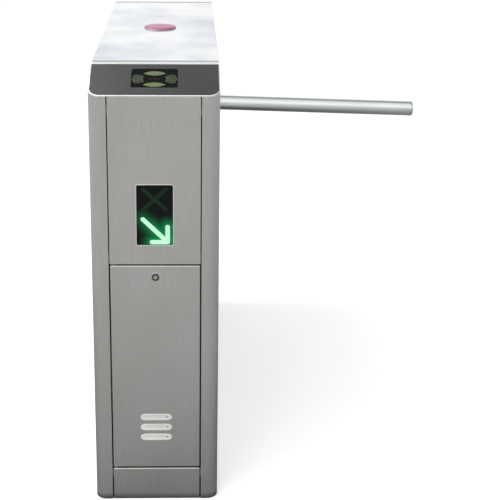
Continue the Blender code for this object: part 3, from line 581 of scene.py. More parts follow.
# --- Cabinet shell ----------------------------------------------------------------------------------

def roof(y):
    """Height of the outside roof line at a distance along the cabinet."""
    beyond = max(0.0, abs(y) - (HALF_L - SLOPE_RUN))
    return HEIGHT - SLOPE_RISE * beyond / SLOPE_RUN


def side_top(y):
    """Upper edge of a side panel."""
    under_slope = roof(y) - SLOPE_PLATE / math.cos(SLOPE_ANGLE) - GAP
    return under_slope if abs(y) >= HALF_L - SLOPE_RUN else LID_LOW.z - 0.0023


def side_panel(side):
    """A long side panel: one sheet with rounded corners that returns onto both ends."""
    turn_x = HALF_W - CORNER_R
    turn_y = HALF_L - CORNER_R
    edge = HALF_L - SLOPE_RUN
    path = [(COLUMN_INNER, -HALF_L)] + arc((turn_x, -turn_y), CORNER_R, -90, 0, 24)
    path += [(HALF_W, -edge - GAP), (HALF_W, -edge + 2 * GAP), (HALF_W, edge - 2 * GAP), (HALF_W, edge + GAP)]
    path += arc((turn_x, turn_y), CORNER_R, 0, 90, 24) + [(COLUMN_INNER, HALF_L)]
    if side < 0:
        path = [(-x, -y) for x, y in path]
    shape = bmesh.new()
    lower = [shape.verts.new((x, y, 0.0)) for x, y in path]
    upper = [shape.verts.new((x, y, side_top(y))) for x, y in path]
    for here in range(len(path) - 1):
        shape.faces.new((lower[here], lower[here + 1], upper[here + 1], upper[here]))
    mesh = bpy.data.meshes.new("side")
    shape.to_mesh(mesh)
    shape.free()
    tag = "right" if side > 0 else "left"
    mesh = thickened("side_skin_" + tag, mesh, SHEET)
    if side > 0:
        outline = rounded((-SLOT_HALF, SLOT_LOW), (SLOT_HALF, SLOT_HIGH), SLOT_R)
        turn = Matrix.Translation((HALF_W, 0, 0)) @ Matrix.Rotation(math.pi / 2, 4, "Z")
        mesh = cut_out(mesh, [outline], 0.02, turn @ Matrix.Rotation(math.pi / 2, 4, "X"))
    show("side_skin_" + tag, mesh, STEEL, ["side_panel_" + tag])


def slot_trim():
    """Black edging that lines the arm's slot in the lane-side panel."""
    low, high = Vector((-SLOT_HALF, SLOT_LOW)), Vector((SLOT_HALF, SLOT_HIGH))
    lip, flange = Vector((0.0012, 0.0012)), Vector((0.003, 0.003))
    inside = rounded(low + lip, high - lip, SLOT_R - 0.001)
    outside = rounded(low - flange, high + flange, SLOT_R + 0.003)
    turn = Matrix.Translation((HALF_W + 0.0004, 0, 0)) @ Matrix.Rotation(math.pi / 2, 4, "Z")
    mesh = plate("slot_trim", [outside, inside], 0.0008, 0.0003, turn @ Matrix.Rotation(math.pi / 2, 4, "X"))
    show("slot_trim", mesh, RUBBER)


def lid():
    """Polished lid: a folded tray with the status light's hole, satin inside, and a darker strip at each end
    that paints the shade line along the lid's edge.
    """
    mesh = folded_tray("lid_skin", LID_LOW, LID_HIGH, (0, 0, -1), 0.0022)
    neck = (BEZEL_HIGH.x - BEZEL_LOW.x) / 2 - 0.011
    hole = circle((0, 0), neck, 48)
    mesh = cut_out(mesh, [hole], 0.02, Matrix.Translation((0, 0, HEIGHT)))
    skin = show("lid_skin", mesh, LID_STEEL, ["lid"], body="lid")
    skin.data.materials.append(STEEL)
    for face in skin.data.polygons:
        inner = face.center.z < HEIGHT - 0.0008 and face.normal.z < -0.5
        face.material_index = 1 if inner else 0
    # Painted shade: a darker strip along the lid at each end.
    lip_wide = 0.015
    for tag, angle in ENDS.items():
        low = (LID_LOW.x + 0.001, LID_LOW.y + 0.0022, HEIGHT - 0.0006)
        high = (LID_HIGH.x - 0.001, LID_LOW.y + lip_wide, HEIGHT + 0.0002)
        lip = block_mesh("lip", low, high, 0.0001)
        show(f"lid_shade_strip_{tag}", lip, SHADE_STRIP_STEEL, (), turn_z(angle), "lid")


def status_light():
    """Flat bezel ring, and the ringed lens cap that stands on it."""
    rim = BEZEL_HIGH.x
    ledge = 0.0016
    cap_r = rim - 0.0016
    matrix = Matrix.Translation((0, 0, HEIGHT))
    inner = rim - 0.008
    ease = 0.0007
    profile = [(inner, GAP), (inner, ledge), (rim - ease, ledge), (rim, ledge - ease)]
    profile += [(rim, GAP), (inner, GAP)]
    bezel = turned("status_bezel_ring", profile, matrix, 96)
    show("status_bezel_ring", bezel, BEZEL_STEEL, ["status_bezel"], body="lid")
    crown = LENS_HIGH.z - HEIGHT
    edge = BEZEL_HIGH.z - HEIGHT
    profile = [(0.0, crown)]
    steps = 14
    for step in range(1, steps + 1):
        share = step / steps
        wave = 0.00012 * (math.sin(share * 40.0) - 1)
        height = edge + (crown - edge) * (1 - share * share) + wave * (1 - share)
        profile.append(((cap_r - 0.0012) * share, height))
    foot = ledge + 0.0001
    profile += [(cap_r - 0.0004, edge - 0.0004), (cap_r, edge - 0.0012), (cap_r, foot), (0.0, foot)]
    lens = turned("status_lens_cap", profile, matrix, 96)
    show("status_lens_cap", lens, STATUS_RED, ["status_lens"], body="lid")


# --- Ends -------------------------------------------------------------------------------------------

def slope_outline(inset=0.0):
    """Outline of the slope plate in its own plane."""
    stretch = SLOPE_LENGTH / SLOPE_RUN
    turn_x = HALF_W - CORNER_R
    radius = CORNER_R - inset
    left = arc((-turn_x, CORNER_R), radius, 180, 270, 24)
    right = arc((turn_x, CORNER_R), radius, 270, 360, 24)
    plan = [(-HALF_W + inset, SLOPE_RUN - inset), *left, *right, (HALF_W - inset, SLOPE_RUN - inset)]
    return [(x, y * stretch) for x, y in plan]


def lens_outline(width, height, centre, steps=14):
    """A lens between two equal arcs that meet in points."""
    half_w, half_h = width / 2, height / 2
    radius = (half_w * half_w + half_h * half_h) / (2 * half_h)
    reach = math.degrees(math.asin(half_w / radius))
    upper = arc((centre[0], centre[1] + half_h - radius), radius, 90 + reach, 90 - reach, steps)
    lower = arc((centre[0], centre[1] - half_h + radius), radius, -90 + reach, -90 - reach, steps)
    return upper[:-1] + lower[:-1]


def petal_outline(centre, length, width, side, steps=6):
    """A lobe that points away from the middle, with softened corners and a notch at its root."""
    x, y = centre
    half = width / 2
    return [
        (x - side * length * 0.42, y + half * 0.62), (x + side * length * 0.10, y + half * 0.98),
        (x + side * length * 0.34, y + half * 0.86), (x + side * length * 0.50, y),
        (x + side * length * 0.34, y - half * 0.86), (x + side * length * 0.10, y - half * 0.98),
        (x - side * length * 0.42, y - half * 0.62), (x - side * length * 0.30, y),
    ]


def reader(tag, turn):
    """Black reader window with a plain four-lobed target."""
    inset = 0.00035
    low = (-READER_HALF + inset, READER_NEAR + inset)
    high = (READER_HALF - inset, READER_FAR - inset)
    window = plate("w", [rounded(low, high, 0.004)], SLOPE_PLATE, 0.0004, on_slope(-SLOPE_PLATE / 2))
    show(f"reader_pane_{tag}", window, READER_BLACK, [f"reader_window_{tag}"], turn)
    middle = (READER_NEAR + READER_FAR) / 2 - 0.0043
    thick = 0.0005
    lift = thick / 2 - 0.0001
    offset = 0.0224
    lenses = [
        plate("l", [lens_outline(0.048, 0.0168, (0, middle + way * offset))], thick, 0.0002, on_slope(lift))
        for way in (-1, 1)
    ]
    show(f"reader_lenses_{tag}", joined("lenses", lenses), LENS_OLIVE, (), turn)
    lobes, ribs = [], []
    for way in (-1, 1):
        centre = (way * 0.0345, middle)
        lobes.append(plate("p", [petal_outline(centre, 0.026, 0.034, way)], thick, 0.0002, on_slope(lift)))
        outline = petal_outline(centre, 0.026, 0.034, way)
        for here, after in zip(outline, outline[1:] + outline[:1]):
            ribs.append(plate("r", [bar(here, after, 0.0013)], 0.0004, 0.0001, on_slope(lift + 0.0002)))
        for row in (-1, 0, 1):
            start = (way * 0.026, middle + row * 0.0045)
            end = (way * 0.043, middle + row * 0.0080)
            ribs.append(plate("r", [bar(start, end, 0.0016)], 0.0004, 0.0001, on_slope(lift + 0.0003)))
    show(f"reader_lobes_{tag}", joined("lobes", lobes), LOBE_GREY, (), turn)
    show(f"reader_ribs_{tag}", joined("ribs", ribs), LOBE_RIB, (), turn)
    pips = [
        plate("c", [obround((way * 0.0095, middle), 0.007, 0.0028)], 0.0004, 0.00015, on_slope(0.0001))
        for way in (-1, 0, 1)
    ]
    show(f"reader_pips_{tag}", joined("pips", pips), LOBE_GREY, (), turn)


def slope(tag, turn):
    """Slope plate: steel at its edge coloured lighter as a painted highlight, under a dark facing with the
    reader's opening.
    """
    facing = 0.0006
    opening = rounded((-READER_HALF, READER_NEAR), (READER_HALF, READER_FAR), 0.004)
    steel = SLOPE_PLATE - facing
    thick, roll = steel + 0.0023, 0.0022
    mesh = plate("s", [slope_outline(), opening], thick, roll, on_slope(-facing - thick / 2), 4)
    show(f"slope_plate_{tag}", mesh, EDGE_HIGHLIGHT_STEEL, [f"slope_cover_{tag}"], turn)
    mesh = plate("f", [slope_outline(roll), opening], facing, 0.0002, on_slope(-facing / 2))
    show(f"slope_facing_{tag}", mesh, SLOPE_GREY, (), turn)


def header(tag, turn):
    """Polished strip between the slope and the lid."""
    low, high = Vector(HEADER_LOW), Vector(HEADER_HIGH)
    mesh = folded_tray("h", low, high, (0, 0, -1), 0.0015)
    show(f"header_skin_{tag}", mesh, STRIP_STEEL, [f"header_strip_{tag}"], turn)


def end_panels(tag, turn):
    """Upper panel with the display opening, and the plinth panel."""
    thick = UPPER_HIGH.y - UPPER_LOW.y
    middle = facing_front((UPPER_LOW.y + UPPER_HIGH.y) / 2)
    outline = rounded((UPPER_LOW.x, UPPER_LOW.z), (UPPER_HIGH.x, UPPER_HIGH.z), 0.0008, 2)
    edge = 0.0003
    opening = rounded(
        (WINDOW_LOW.x - edge, WINDOW_LOW.z - edge), (WINDOW_HIGH.x + edge, WINDOW_HIGH.z + edge), 0.003
    )
    upper = plate("u", [outline, opening], thick, 0.0004, middle)
    show(f"upper_skin_{tag}", upper, STEEL, [f"upper_panel_{tag}"], turn)
    low, high = Vector(PLINTH_LOW), Vector(PLINTH_HIGH)
    high.y = low.y + 0.012
    plinth = folded_tray("p", low, high, (0, 1, 0), 0.0024)
    show(f"plinth_skin_{tag}", plinth, STEEL, [f"plinth_panel_{tag}"], turn)
    # Rim round the display window in the lighter steel: a painted highlight.
    rim = 0.0022
    outside = rounded(
        (WINDOW_LOW.x - rim, WINDOW_LOW.z - rim), (WINDOW_HIGH.x + rim, WINDOW_HIGH.z + rim), 0.005
    )
    frame_mesh = plate("f", [outside, opening], 0.0008, 0.0003, facing_front(UPPER_LOW.y - 0.0002))
    show(f"display_rim_{tag}", frame_mesh, EDGE_HIGHLIGHT_STEEL, (), turn)


def bar(start, end, width):
    """Outline of a round-ended bar between two points."""
    centre = ((start[0] + end[0]) / 2, (start[1] + end[1]) / 2)
    length = math.hypot(end[0] - start[0], end[1] - start[1]) + width
    angle = math.degrees(math.atan2(end[1] - start[1], end[0] - start[0]))
    return obround(centre, length, width, angle)


def distance_to(point, start, end):
    """Distance from a point to a straight stroke."""
    p, a, b = Vector(point), Vector(start), Vector(end)
    along = b - a
    share = max(0.0, min(1.0, (p - a).dot(along) / along.length_squared))
    return (p - (a + along * share)).length


def display(tag, turn):
    """Smoked display window: a lit sign, an unlit one, and the halo round the lit strokes."""
    left, right = WINDOW_LOW.x, WINDOW_HIGH.x
    low, high = WINDOW_LOW.z, WINDOW_HIGH.z
    wide, tall = right - left, high - low
    tip = (right - 0.0115, low + 0.0065)
    tail = (left + 0.0135, low + 0.0585)
    arrow = [(tail, tip), ((tip[0], tip[1] + 0.0345), tip), ((tip[0] - 0.034, tip[1]), tip)]
    cross_mid = (0.0, high - 0.032)
    reach_x, reach_z = 0.0245, 0.0225
    cross = [
        ((-reach_x, cross_mid[1] + way * reach_z), (reach_x, cross_mid[1] - way * reach_z))
        for way in (-1, 1)
    ]
    shown, hidden, lamp, halo, slot = arrow, cross, LED_GREEN, GREEN_HALO, "led_green"
    if tag == "rear":
        shown, hidden, lamp, halo, slot = cross, arrow, LED_RED, RED_HALO, "led_red"

    columns, rows = 30, 52
    shape = bmesh.new()
    grid = []
    for row in range(rows + 1):
        height = low + tall * row / rows
        grid.append([shape.verts.new((left + wide * k / columns, 0.0, height)) for k in range(columns + 1)])
    for row in range(rows):
        for k in range(columns):
            shape.faces.new((grid[row][k], grid[row][k + 1], grid[row + 1][k + 1], grid[row + 1][k]))
    thick = WINDOW_HIGH.y - WINDOW_LOW.y
    bmesh.ops.translate(shape, vec=(0, WINDOW_LOW.y, 0), verts=shape.verts)
    mesh = bpy.data.meshes.new("pane")
    shape.to_mesh(mesh)
    shape.free()
    pane = thickened("pane", mesh, thick, 0.0002)
    glow = pane.attributes.new("glow", "FLOAT", "POINT")
    fall, reach = 0.0150, 0.110
    heart = Vector(tip if shown is arrow else cross_mid)
    for vertex, value in zip(pane.vertices, glow.data):
        place = Vector((vertex.co.x, vertex.co.z))
        near = min(distance_to(place, *stroke) for stroke in shown)
        share = max(0.3, 1.0 - (place - heart).length / reach)
        value.value = share * math.exp(-((near / fall) ** 1.6))
    show(f"display_pane_{tag}", pane, halo, [f"display_window_{tag}"], turn)
    front = facing_front(WINDOW_LOW.y - 0.0001)
    step = 0.00006
    lit_bars = [
        plate("b", [bar(*stroke, 0.0098)], 0.0008 + step * count, 0.0003, front)
        for count, stroke in enumerate(shown)
    ]
    show(f"display_lit_{tag}", joined("lit", lit_bars), lamp, (), turn)
    dim_bars = [
        plate("b", [bar(*stroke, 0.0085)], 0.0006 + step * count, 0.0002, front)
        for count, stroke in enumerate(hidden)
    ]
    show(f"display_dim_{tag}", joined("dim", dim_bars), DIM_LED, (), turn)


def capsule(centre, length, width, nose, steps=12):
    """Points round a bar whose ends are half ellipses of a given length."""
    points = []
    for way in (1, -1):
        root = centre[0] + way * (length / 2 - nose)
        for step in range(steps + 1):
            angle = math.pi * step / steps - math.pi / 2
            rise = way * width / 2 * math.sin(angle)
            points.append((root + way * nose * math.cos(angle), centre[1] + rise))
    return points


def louvre(height):
    """A pressed louvre: a raised pointed-oval rim round a dished middle."""
    length, width, nose = 0.0715, 0.0160, 0.0115
    outside = capsule((0, height), length, width, nose)
    inside = capsule((0, height), length - 0.014, width - 0.0085, nose - 0.004)
    rim = plate("rim", [outside, inside], 0.0018, 0.0008, facing_front(DOOR_LOW.y - 0.0005), 3)
    dish = plate("dish", [inside], 0.0006, 0.0002, facing_front(DOOR_LOW.y - 0.0004))
    return [rim, dish]


def door(tag, turn):
    """Service door: folded tray, pressed louvres and the face of the cam lock."""
    body = "door_" + tag
    mesh = folded_tray("d", DOOR_LOW, DOOR_HIGH, (0, 1, 0), 0.0030)
    lock_r = (LOCK_HIGH.x - LOCK_LOW.x) / 2
    hole = circle((0, LOCK_Z), lock_r - 0.0008, 32)
    holes = [hole] + [obround((0, height), 0.066, 0.010) for height in LOUVRE_HEIGHTS]
    mesh = cut_out(mesh, holes, 0.012, facing_front(DOOR_LOW.y))
    show(f"door_skin_{tag}", mesh, STEEL, [f"door_{tag}"], turn, body)
    parts = [part for height in LOUVRE_HEIGHTS for part in louvre(height)]
    # Louvres lighter than the door: painted highlight.
    show(f"louvres_{tag}", joined("louvres", parts), LOUVRE_HIGHLIGHT, (), turn, body)
    # Painted shadow: dark slits beside the louvres.
    face = facing_front(DOOR_LOW.y - 0.0007)
    slits = [
        plate("slit", [obround((0.0245, height + 0.0004), 0.0042, 0.0018)], 0.0006, 0.0002, face)
        for height in LOUVRE_HEIGHTS
    ]
    show(f"louvre_slits_{tag}", joined("slits", slits), RECESS_SHADOW, (), turn, body)
    # Painted shade in the lock's bore, with a dark dot for a small hole.
    front = LOCK_LOW.y
    recess = circle((0.0006, LOCK_Z - 0.0012), 0.0078, 32)
    core = circle((0.0006, LOCK_Z - 0.0012), 0.0048, 32)
    well = plate("well", [recess, core], 0.0004, 0.0001, facing_front(front + 0.0002))
    rivet = circle((0.0050, LOCK_Z + 0.0056), 0.0012, 16)
    dot = plate("dot", [rivet], 0.0005, 0.0001, facing_front(front + 0.00025))
    show(f"lock_well_{tag}", joined("well", [well, dot]), RECESS_SHADOW, (), turn, body)
    axis = Matrix.Translation((0, front, LOCK_Z)) @ Matrix.Rotation(-math.pi / 2, 4, "X")
    bore = 0.006
    outer_r = lock_r
    face, ease = 0.0003, 0.0008
    profile = [(bore, ease), (bore + ease, face), (outer_r - 0.0012, face)]
    profile += [(outer_r, 0.0009), (outer_r, 0.0012)]
    long = LOCK_HIGH.y - LOCK_LOW.y
    profile += [(outer_r - 0.001, 0.0012), (outer_r - 0.001, long), (bore, long), (bore, ease)]
    head = turned("lock_head", profile, axis, 64)
    show(f"lock_head_{tag}", head, LOCK_STEEL, [f"lock_barrel_{tag}"], turn, body)
    # Painted shadow: the keyway as a dark mark on the plug.
    keyway = obround((0, LOCK_Z), 0.0062, 0.0014, 90)
    slot_mesh = plate("key", [keyway], 0.0005, 0.0001, facing_front(front + 0.0003))
    show(f"key_slot_{tag}", slot_mesh, RECESS_SHADOW, (), turn, "lock_" + tag)


# --- Arm --------------------------------------------------------------------------------------------

def arm():
    """Polished tube and its domed cap, on the arm's own drooping line."""
    line = Matrix.Translation(PIVOT) @ Matrix.Rotation(ARM_DROOP + math.pi / 2, 4, "Y")
    bore = ARM_R - ARM_WALL
    ease = 0.0006
    profile = [(bore, ARM_START), (ARM_R - ease, ARM_START), (ARM_R, ARM_START + ease)]
    profile += [(ARM_R, 0.20), (ARM_R, 0.40)]
    profile += [(ARM_R, ARM_END - ease), (ARM_R - ease, ARM_END), (bore, ARM_END), (bore, ARM_START)]
    tube = turned("arm_skin", profile, line, 96)
    show("arm_skin", tube, ARM_STEEL, ["arm_tube"], body="arm")
    dome = ARM_TIP - ARM_END - GAP
    profile = [(0.0, ARM_TIP)]
    for step in range(9):
        angle = math.radians(90 - 11.25 * step)
        radius = ARM_R - dome * (1 - math.cos(angle))
        profile.append((radius, ARM_END + GAP + dome * math.sin(angle)))
    profile += [(bore - GAP, ARM_END + GAP), (bore - GAP, ARM_END - 0.022), (0.0, ARM_END - 0.022)]
    cap = turned("arm_cap_skin", profile, line, 96)
    show("arm_cap_skin", cap, ARM_STEEL, ["arm_end_cap"], body="arm")


# --- Equipment inside -------------------------------------------------------------------------------

def on_wall(x):
    """Matrix that stands a flat plate on the tray: its x runs along +Y, its y up, and it faces +X."""
    turn = Matrix(((0, 0, 1, 0), (1, 0, 0, 0), (0, 1, 0, 0), (0, 0, 0, 1)))
    return Matrix.Translation((x, 0, 0)) @ turn


def screw(matrix, radius=0.0025):
    """A socket-head screw that stands on a plate's face."""
    socket, floor, high = radius * 0.5, radius * 0.4, radius * 0.9
    profile = [(0.0, floor), (socket, floor), (socket, high), (radius * 0.85, high), (radius, high * 0.8)]
    return turned("screw", profile + [(radius, 0.0), (0.0, 0.0)], matrix, 24)


def wall_screws(places, x, radius=0.0025):
    """Screws at (y, z) places on a face that looks towards +X."""
    return [screw(on_wall(x) @ Matrix.Translation((y, z, 0)), radius) for y, z in places]


def terminal_row(name, low, high, count, finish):
    """A row of screw terminals: a block with a rib at each side of every screw."""
    low, high = Vector(low), Vector(high)
    rib = 0.0014
    face = high.x - 0.003
    pieces = [block_mesh("b", low, (face, high.y, high.z), 0.0005)]
    pitch = (high.y - low.y) / count
    for edge in range(count + 1):
        y = low.y + (high.y - low.y - rib) * edge / count
        pieces.append(block_mesh("r", (face - 0.001, y, low.z), (high.x, y + rib, high.z), 0.0003))
    show(name, joined(name, pieces), finish)
    middle = (low.z + high.z) / 2
    places = [(low.y + pitch * (step + 0.5), middle) for step in range(count)]
    heads = wall_screws(places, face - 0.0002, min(0.0032, pitch * 0.3))
    show(f"{name}_screws", joined("screws", heads), MACHINED)


def power_supply():
    """Perforated supply case over a row of screw terminals."""
    low, high = (Vector(corner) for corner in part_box("power_supply"))
    split = low.z + 0.022
    case = block_mesh("case", (low.x, low.y, split), high, 0.0012)
    columns, rows = 9, 5
    pitch_y, pitch_z = (high.y - low.y - 0.024) / (columns - 1), 0.026
    slots = [
        obround((low.y + 0.012 + pitch_y * column, high.z - 0.028 - pitch_z * row), 0.017, 0.0042, 90)
        for column in range(columns) for row in range(rows)
    ]
    case = cut_out(case, slots, 0.006, on_wall(high.x))
    show("power_supply_case", case, CASE_STEEL, ["power_supply"])
    places = [(y, z) for y in (low.y + 0.007, high.y - 0.007) for z in (split + 0.007, high.z - 0.007)]
    heads = joined("heads", wall_screws(places, high.x - 0.0008, 0.0024))
    show("power_supply_screws", heads, MACHINED)
    front = low.x + 0.030
    terminal_row(
        "power_supply_terminals", (low.x, low.y + 0.006, low.z), (front, high.y - 0.006, split - GAP), 9,
        BLACK_PLASTIC,
    )


def control_board():
    """Circuit board on standoffs with relays, a controller, capacitors, lamps and a terminal row."""
    low, high = (Vector(corner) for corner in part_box("control_board"))
    foot, thick = 0.006, 0.0016
    face = low.x + foot + thick
    outline = rounded((low.y, low.z), (high.y, high.z), 0.003, 4)
    corners = [(y, z) for y in (low.y + 0.006, high.y - 0.006) for z in (low.z + 0.0055, high.z - 0.0055)]
    holes = [circle(corner, 0.0016, 16) for corner in corners]
    board = plate("board", [outline, *holes], thick, 0.0001, on_wall(low.x + foot + thick / 2))
    show("control_board_sheet", board, BOARD_GREEN, ["control_board"])
    posts = []
    for y, z in corners:
        place = on_wall(low.x) @ Matrix.Translation((y, z, 0))
        posts.append(turned("post", [(0.0, foot), (0.0028, foot), (0.0028, 0.0), (0.0, 0.0)], place, 6))
    posts += wall_screws(corners, face, 0.0024)
    show("control_board_posts", joined("posts", posts), BRASS)

    relays = []
    for count in range(4):
        start = low.y + 0.014 + 0.046 * count
        end, base, top = start + 0.030, low.z + 0.012, low.z + 0.032
        lip, rise = 0.0012, 0.001
        relays.append(block_mesh("relay", (face, start, base), (high.x, end, top), 0.001))
        corner = (face + 0.003, end + lip, top + rise)
        relays.append(block_mesh("foot", (face, start - lip, base - rise), corner, 0.0004))
    show("control_board_relays", joined("relays", relays), BLACK_PLASTIC)

    middle_y, middle_z = low.y + 0.085, low.z + 0.082
    half, pin_half = 0.011, 0.0004
    chips = [block_mesh("chip", (face + 0.0004, middle_y - half, middle_z - half),
                        (face + 0.0026, middle_y + half, middle_z + half), 0.0004)]
    for row in range(3):
        z = low.z + 0.060 + 0.020 * row
        corner = (face + 0.0024, high.y - 0.044, z + 0.008)
        chips.append(block_mesh("chip", (face + 0.0004, high.y - 0.062, z), corner, 0.0003))
    show("control_board_chips", joined("chips", chips), BLACK_PLASTIC)
    pins = []
    for step in range(10):
        offset = -half + 0.0021 + 0.00198 * step
        for side in (-1, 1):
            edge = sorted((side * (half - 0.0002), side * (half + 0.0016)))
            for along_y in (True, False):
                y_span = (offset - pin_half, offset + pin_half) if along_y else edge
                z_span = edge if along_y else (offset - pin_half, offset + pin_half)
                start = (face, middle_y + y_span[0], middle_z + z_span[0])
                end = (face + 0.0012, middle_y + y_span[1], middle_z + z_span[1])
                pins.append(block_mesh("pin", start, end, 0.0001, 1))
    show("control_board_pins", joined("pins", pins), MACHINED)

    cans, radius, tall = [], 0.0055, 0.0125
    for y, z in ((0.028, 0.060), (0.028, 0.076), (0.046, 0.060), (0.120, 0.064), (0.120, 0.098)):
        place = on_wall(face) @ Matrix.Translation((low.y + y, low.z + z, 0))
        brow = tall - 0.0004
        profile = [(0.0, brow), (radius - 0.0014, brow), (radius - 0.0010, tall), (radius - 0.0003, tall)]
        profile += [(radius, brow), (radius, 0.0024), (radius - 0.0005, 0.0019), (radius, 0.0014)]
        cans.append(turned("can", profile + [(radius, 0.0), (0.0, 0.0)], place, 32))
    show("control_board_capacitors", joined("cans", cans), CASE_STEEL)
    lamps, bulb = [], 0.0015
    for step in range(4):
        place = on_wall(face) @ Matrix.Translation((high.y - 0.020, low.z + 0.060 + 0.010 * step, 0))
        dome = arc((0.0, 0.002), bulb, 90, 0, 3)
        profile = [(0.0, dome[0][1])] + dome[1:] + [(bulb, 0.0), (0.0, 0.0)]
        lamps.append(turned("lamp", profile, place, 20))
    show("control_board_lamps", joined("lamps", lamps), LED_GREEN)
    start, end = (face, low.y + 0.014, high.z - 0.024), (low.x + 0.019, high.y - 0.014, high.z - 0.008)
    terminal_row("control_board_terminals", start, end, 14, WHITE_PLASTIC)


def counter_module():
    """Counter housing with a recessed window, six digits that read zero, and a reset button."""
    low, high = (Vector(corner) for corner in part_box("counter_module"))
    proud = 0.003
    face = high.x - proud
    body = block_mesh("body", low, (face, high.y, high.z), 0.0018, 3)
    middle = (low.z + high.z) / 2
    window = rounded((low.y + 0.010, middle - 0.016), (high.y - 0.032, middle + 0.016), 0.002, 4)
    body = cut_out(body, [window], 0.006, on_wall(face))
    show("counter_body", body, WHITE_PLASTIC, ["counter_module"])
    pane = rounded((low.y + 0.0103, middle - 0.0157), (high.y - 0.0323, middle + 0.0157), 0.0018, 4)
    floor = face - 0.002
    glass = plate("pane", [pane], 0.0009, 0.0002, on_wall(floor))
    show("counter_pane", glass, READER_BLACK)
    strokes, half_wide, half_tall = [], 0.0036, 0.0082
    for digit in range(6):
        y = low.y + 0.0185 + 0.0121 * digit
        path = ((-1, -1), (1, -1), (1, 0), (1, 1), (-1, 1), (-1, 0))
        corners = [(y + a * half_wide, middle + b * half_tall) for a, b in path]
        for here, after in zip(corners, corners[1:] + corners[:1]):
            start, end = Vector(here), Vector(after)
            trim = (end - start).normalized() * 0.0010
            stroke = bar(start + trim, end - trim, 0.0013)
            strokes.append(plate("s", [stroke], 0.0004, 0.0001, on_wall(floor + 0.0005)))
    show("counter_digits", joined("digits", strokes), LED_GREEN)
    radius = 0.0062
    dish = proud - 0.0004
    profile = [(0.0, dish), (radius - 0.0016, dish), (radius - 0.0008, proud), (radius, proud - 0.0006)]
    place = on_wall(face) @ Matrix.Translation((high.y - 0.017, middle, 0))
    button = turned("button", profile + [(radius, 0.0), (0.0, 0.0)], place, 40)
    show("counter_button", button, BLACK_PLASTIC)


def sign_module(tag, turn):
    """Housing behind the sign's window: a moulded frame with a driver board and its sockets on the back."""
    low, high = (Vector(corner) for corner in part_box("display_module_front"))
    back = high.y - 0.006
    case = block_mesh("case", low, (high.x, back, high.z), 0.0015, 3)
    show(f"sign_case_{tag}", case, BLACK_PLASTIC, [f"display_module_{tag}"], turn)
    edge, thick = 0.005, 0.0016
    outline = rounded((low.x + edge, low.z + edge), (high.x - edge, high.z - edge), 0.002, 4)
    board = plate("board", [outline], thick, 0.0001, facing_front(back + thick / 2 + 0.0001))
    show(f"sign_board_{tag}", board, BOARD_GREEN, (), turn)
    rear = back + thick
    parts = [
        block_mesh("socket", (-0.020, rear, low.z + 0.012), (0.020, high.y, low.z + 0.021), 0.0005),
        block_mesh("socket", (-0.020, rear, high.z - 0.021), (0.020, high.y, high.z - 0.012), 0.0005),
    ]
    for row in range(4):
        z = low.z + 0.036 + 0.022 * row
        parts += [
            block_mesh("chip", (x - 0.006, rear, z), (x + 0.006, rear + 0.002, z + 0.008), 0.0003)
            for x in (-0.022, 0.022)
        ]
    show(f"sign_parts_{tag}", joined("parts", parts), BLACK_PLASTIC, (), turn)


def reader_module(tag, turn):
    """Potted reader body under the slope plate, stepped at its back."""
    border, deep = 0.006, 0.022
    top = -SLOPE_PLATE - GAP
    low = (-READER_HALF - border, READER_NEAR - border)
    high = (READER_HALF + border, READER_FAR + border)
    split = deep * 0.45
    flange = plate("flange", [rounded(low, high, 0.003, 4)], split, 0.0008, on_slope(top - split / 2))
    inset = 0.008
    low, high = (low[0] + inset, low[1] + inset), (high[0] - inset, high[1] - inset)
    rest = deep - split
    pot = plate("pot", [rounded(low, high, 0.006, 6)], rest, 0.0016, on_slope(top - split - rest / 2))
    body = joined("reader", [flange, pot])
    show(f"reader_body_{tag}", body, BLACK_PLASTIC, [f"reader_module_{tag}"], turn)


def gearmotor():
    """Round gearmotor: gearbox with a face ring, a finned motor can and a domed rear cap."""
    low, high = (Vector(corner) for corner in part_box("gearmotor"))
    long = high.y - low.y
    box_r = (high.x - low.x) / 2
    can_r, can_long = 0.022, 0.090
    profile = [(0.0, 0.0), (can_r - 0.006, 0.0), (can_r - 0.002, 0.0012), (can_r, 0.004), (can_r, 0.014)]
    fins, pitch, depth = 14, 0.0044, 0.0016
    for fin in range(fins):
        start = 0.016 + pitch * fin
        profile += [(can_r - depth, start), (can_r - depth, start + pitch * 0.4)]
        profile += [(can_r, start + pitch * 0.5), (can_r, start + pitch * 0.9)]
    ease, groove = 0.001, 0.0008
    profile += [(can_r, can_long), (box_r - ease, can_long)]
    profile += [(box_r, can_long + ease), (box_r, can_long + 0.018)]
    for seam in (0.019, 0.040):
        start = can_long + seam
        profile += [(box_r - groove, start), (box_r - groove, start + ease), (box_r, start + 2 * ease)]
    profile += [(box_r, long - 0.001), (box_r - 0.001, long), (0.0, long)]
    rear = Matrix.Translation(((low.x + high.x) / 2, low.y, (low.z + high.z) / 2))
    body = turned("gearmotor", profile, rear @ Matrix.Rotation(-math.pi / 2, 4, "X"), 72)
    show("gearmotor_body", body, MOTOR_BLACK, ["gearmotor"])


def equipment():
    """Everything electrical that the lid and the doors uncover."""
    power_supply()
    control_board()
    counter_module()
    gearmotor()
    for tag, angle in ENDS.items():
        sign_module(tag, turn_z(angle))
        reader_module(tag, turn_z(angle))


# --- Carried-over CAD nodes -------------------------------------------------------------------------

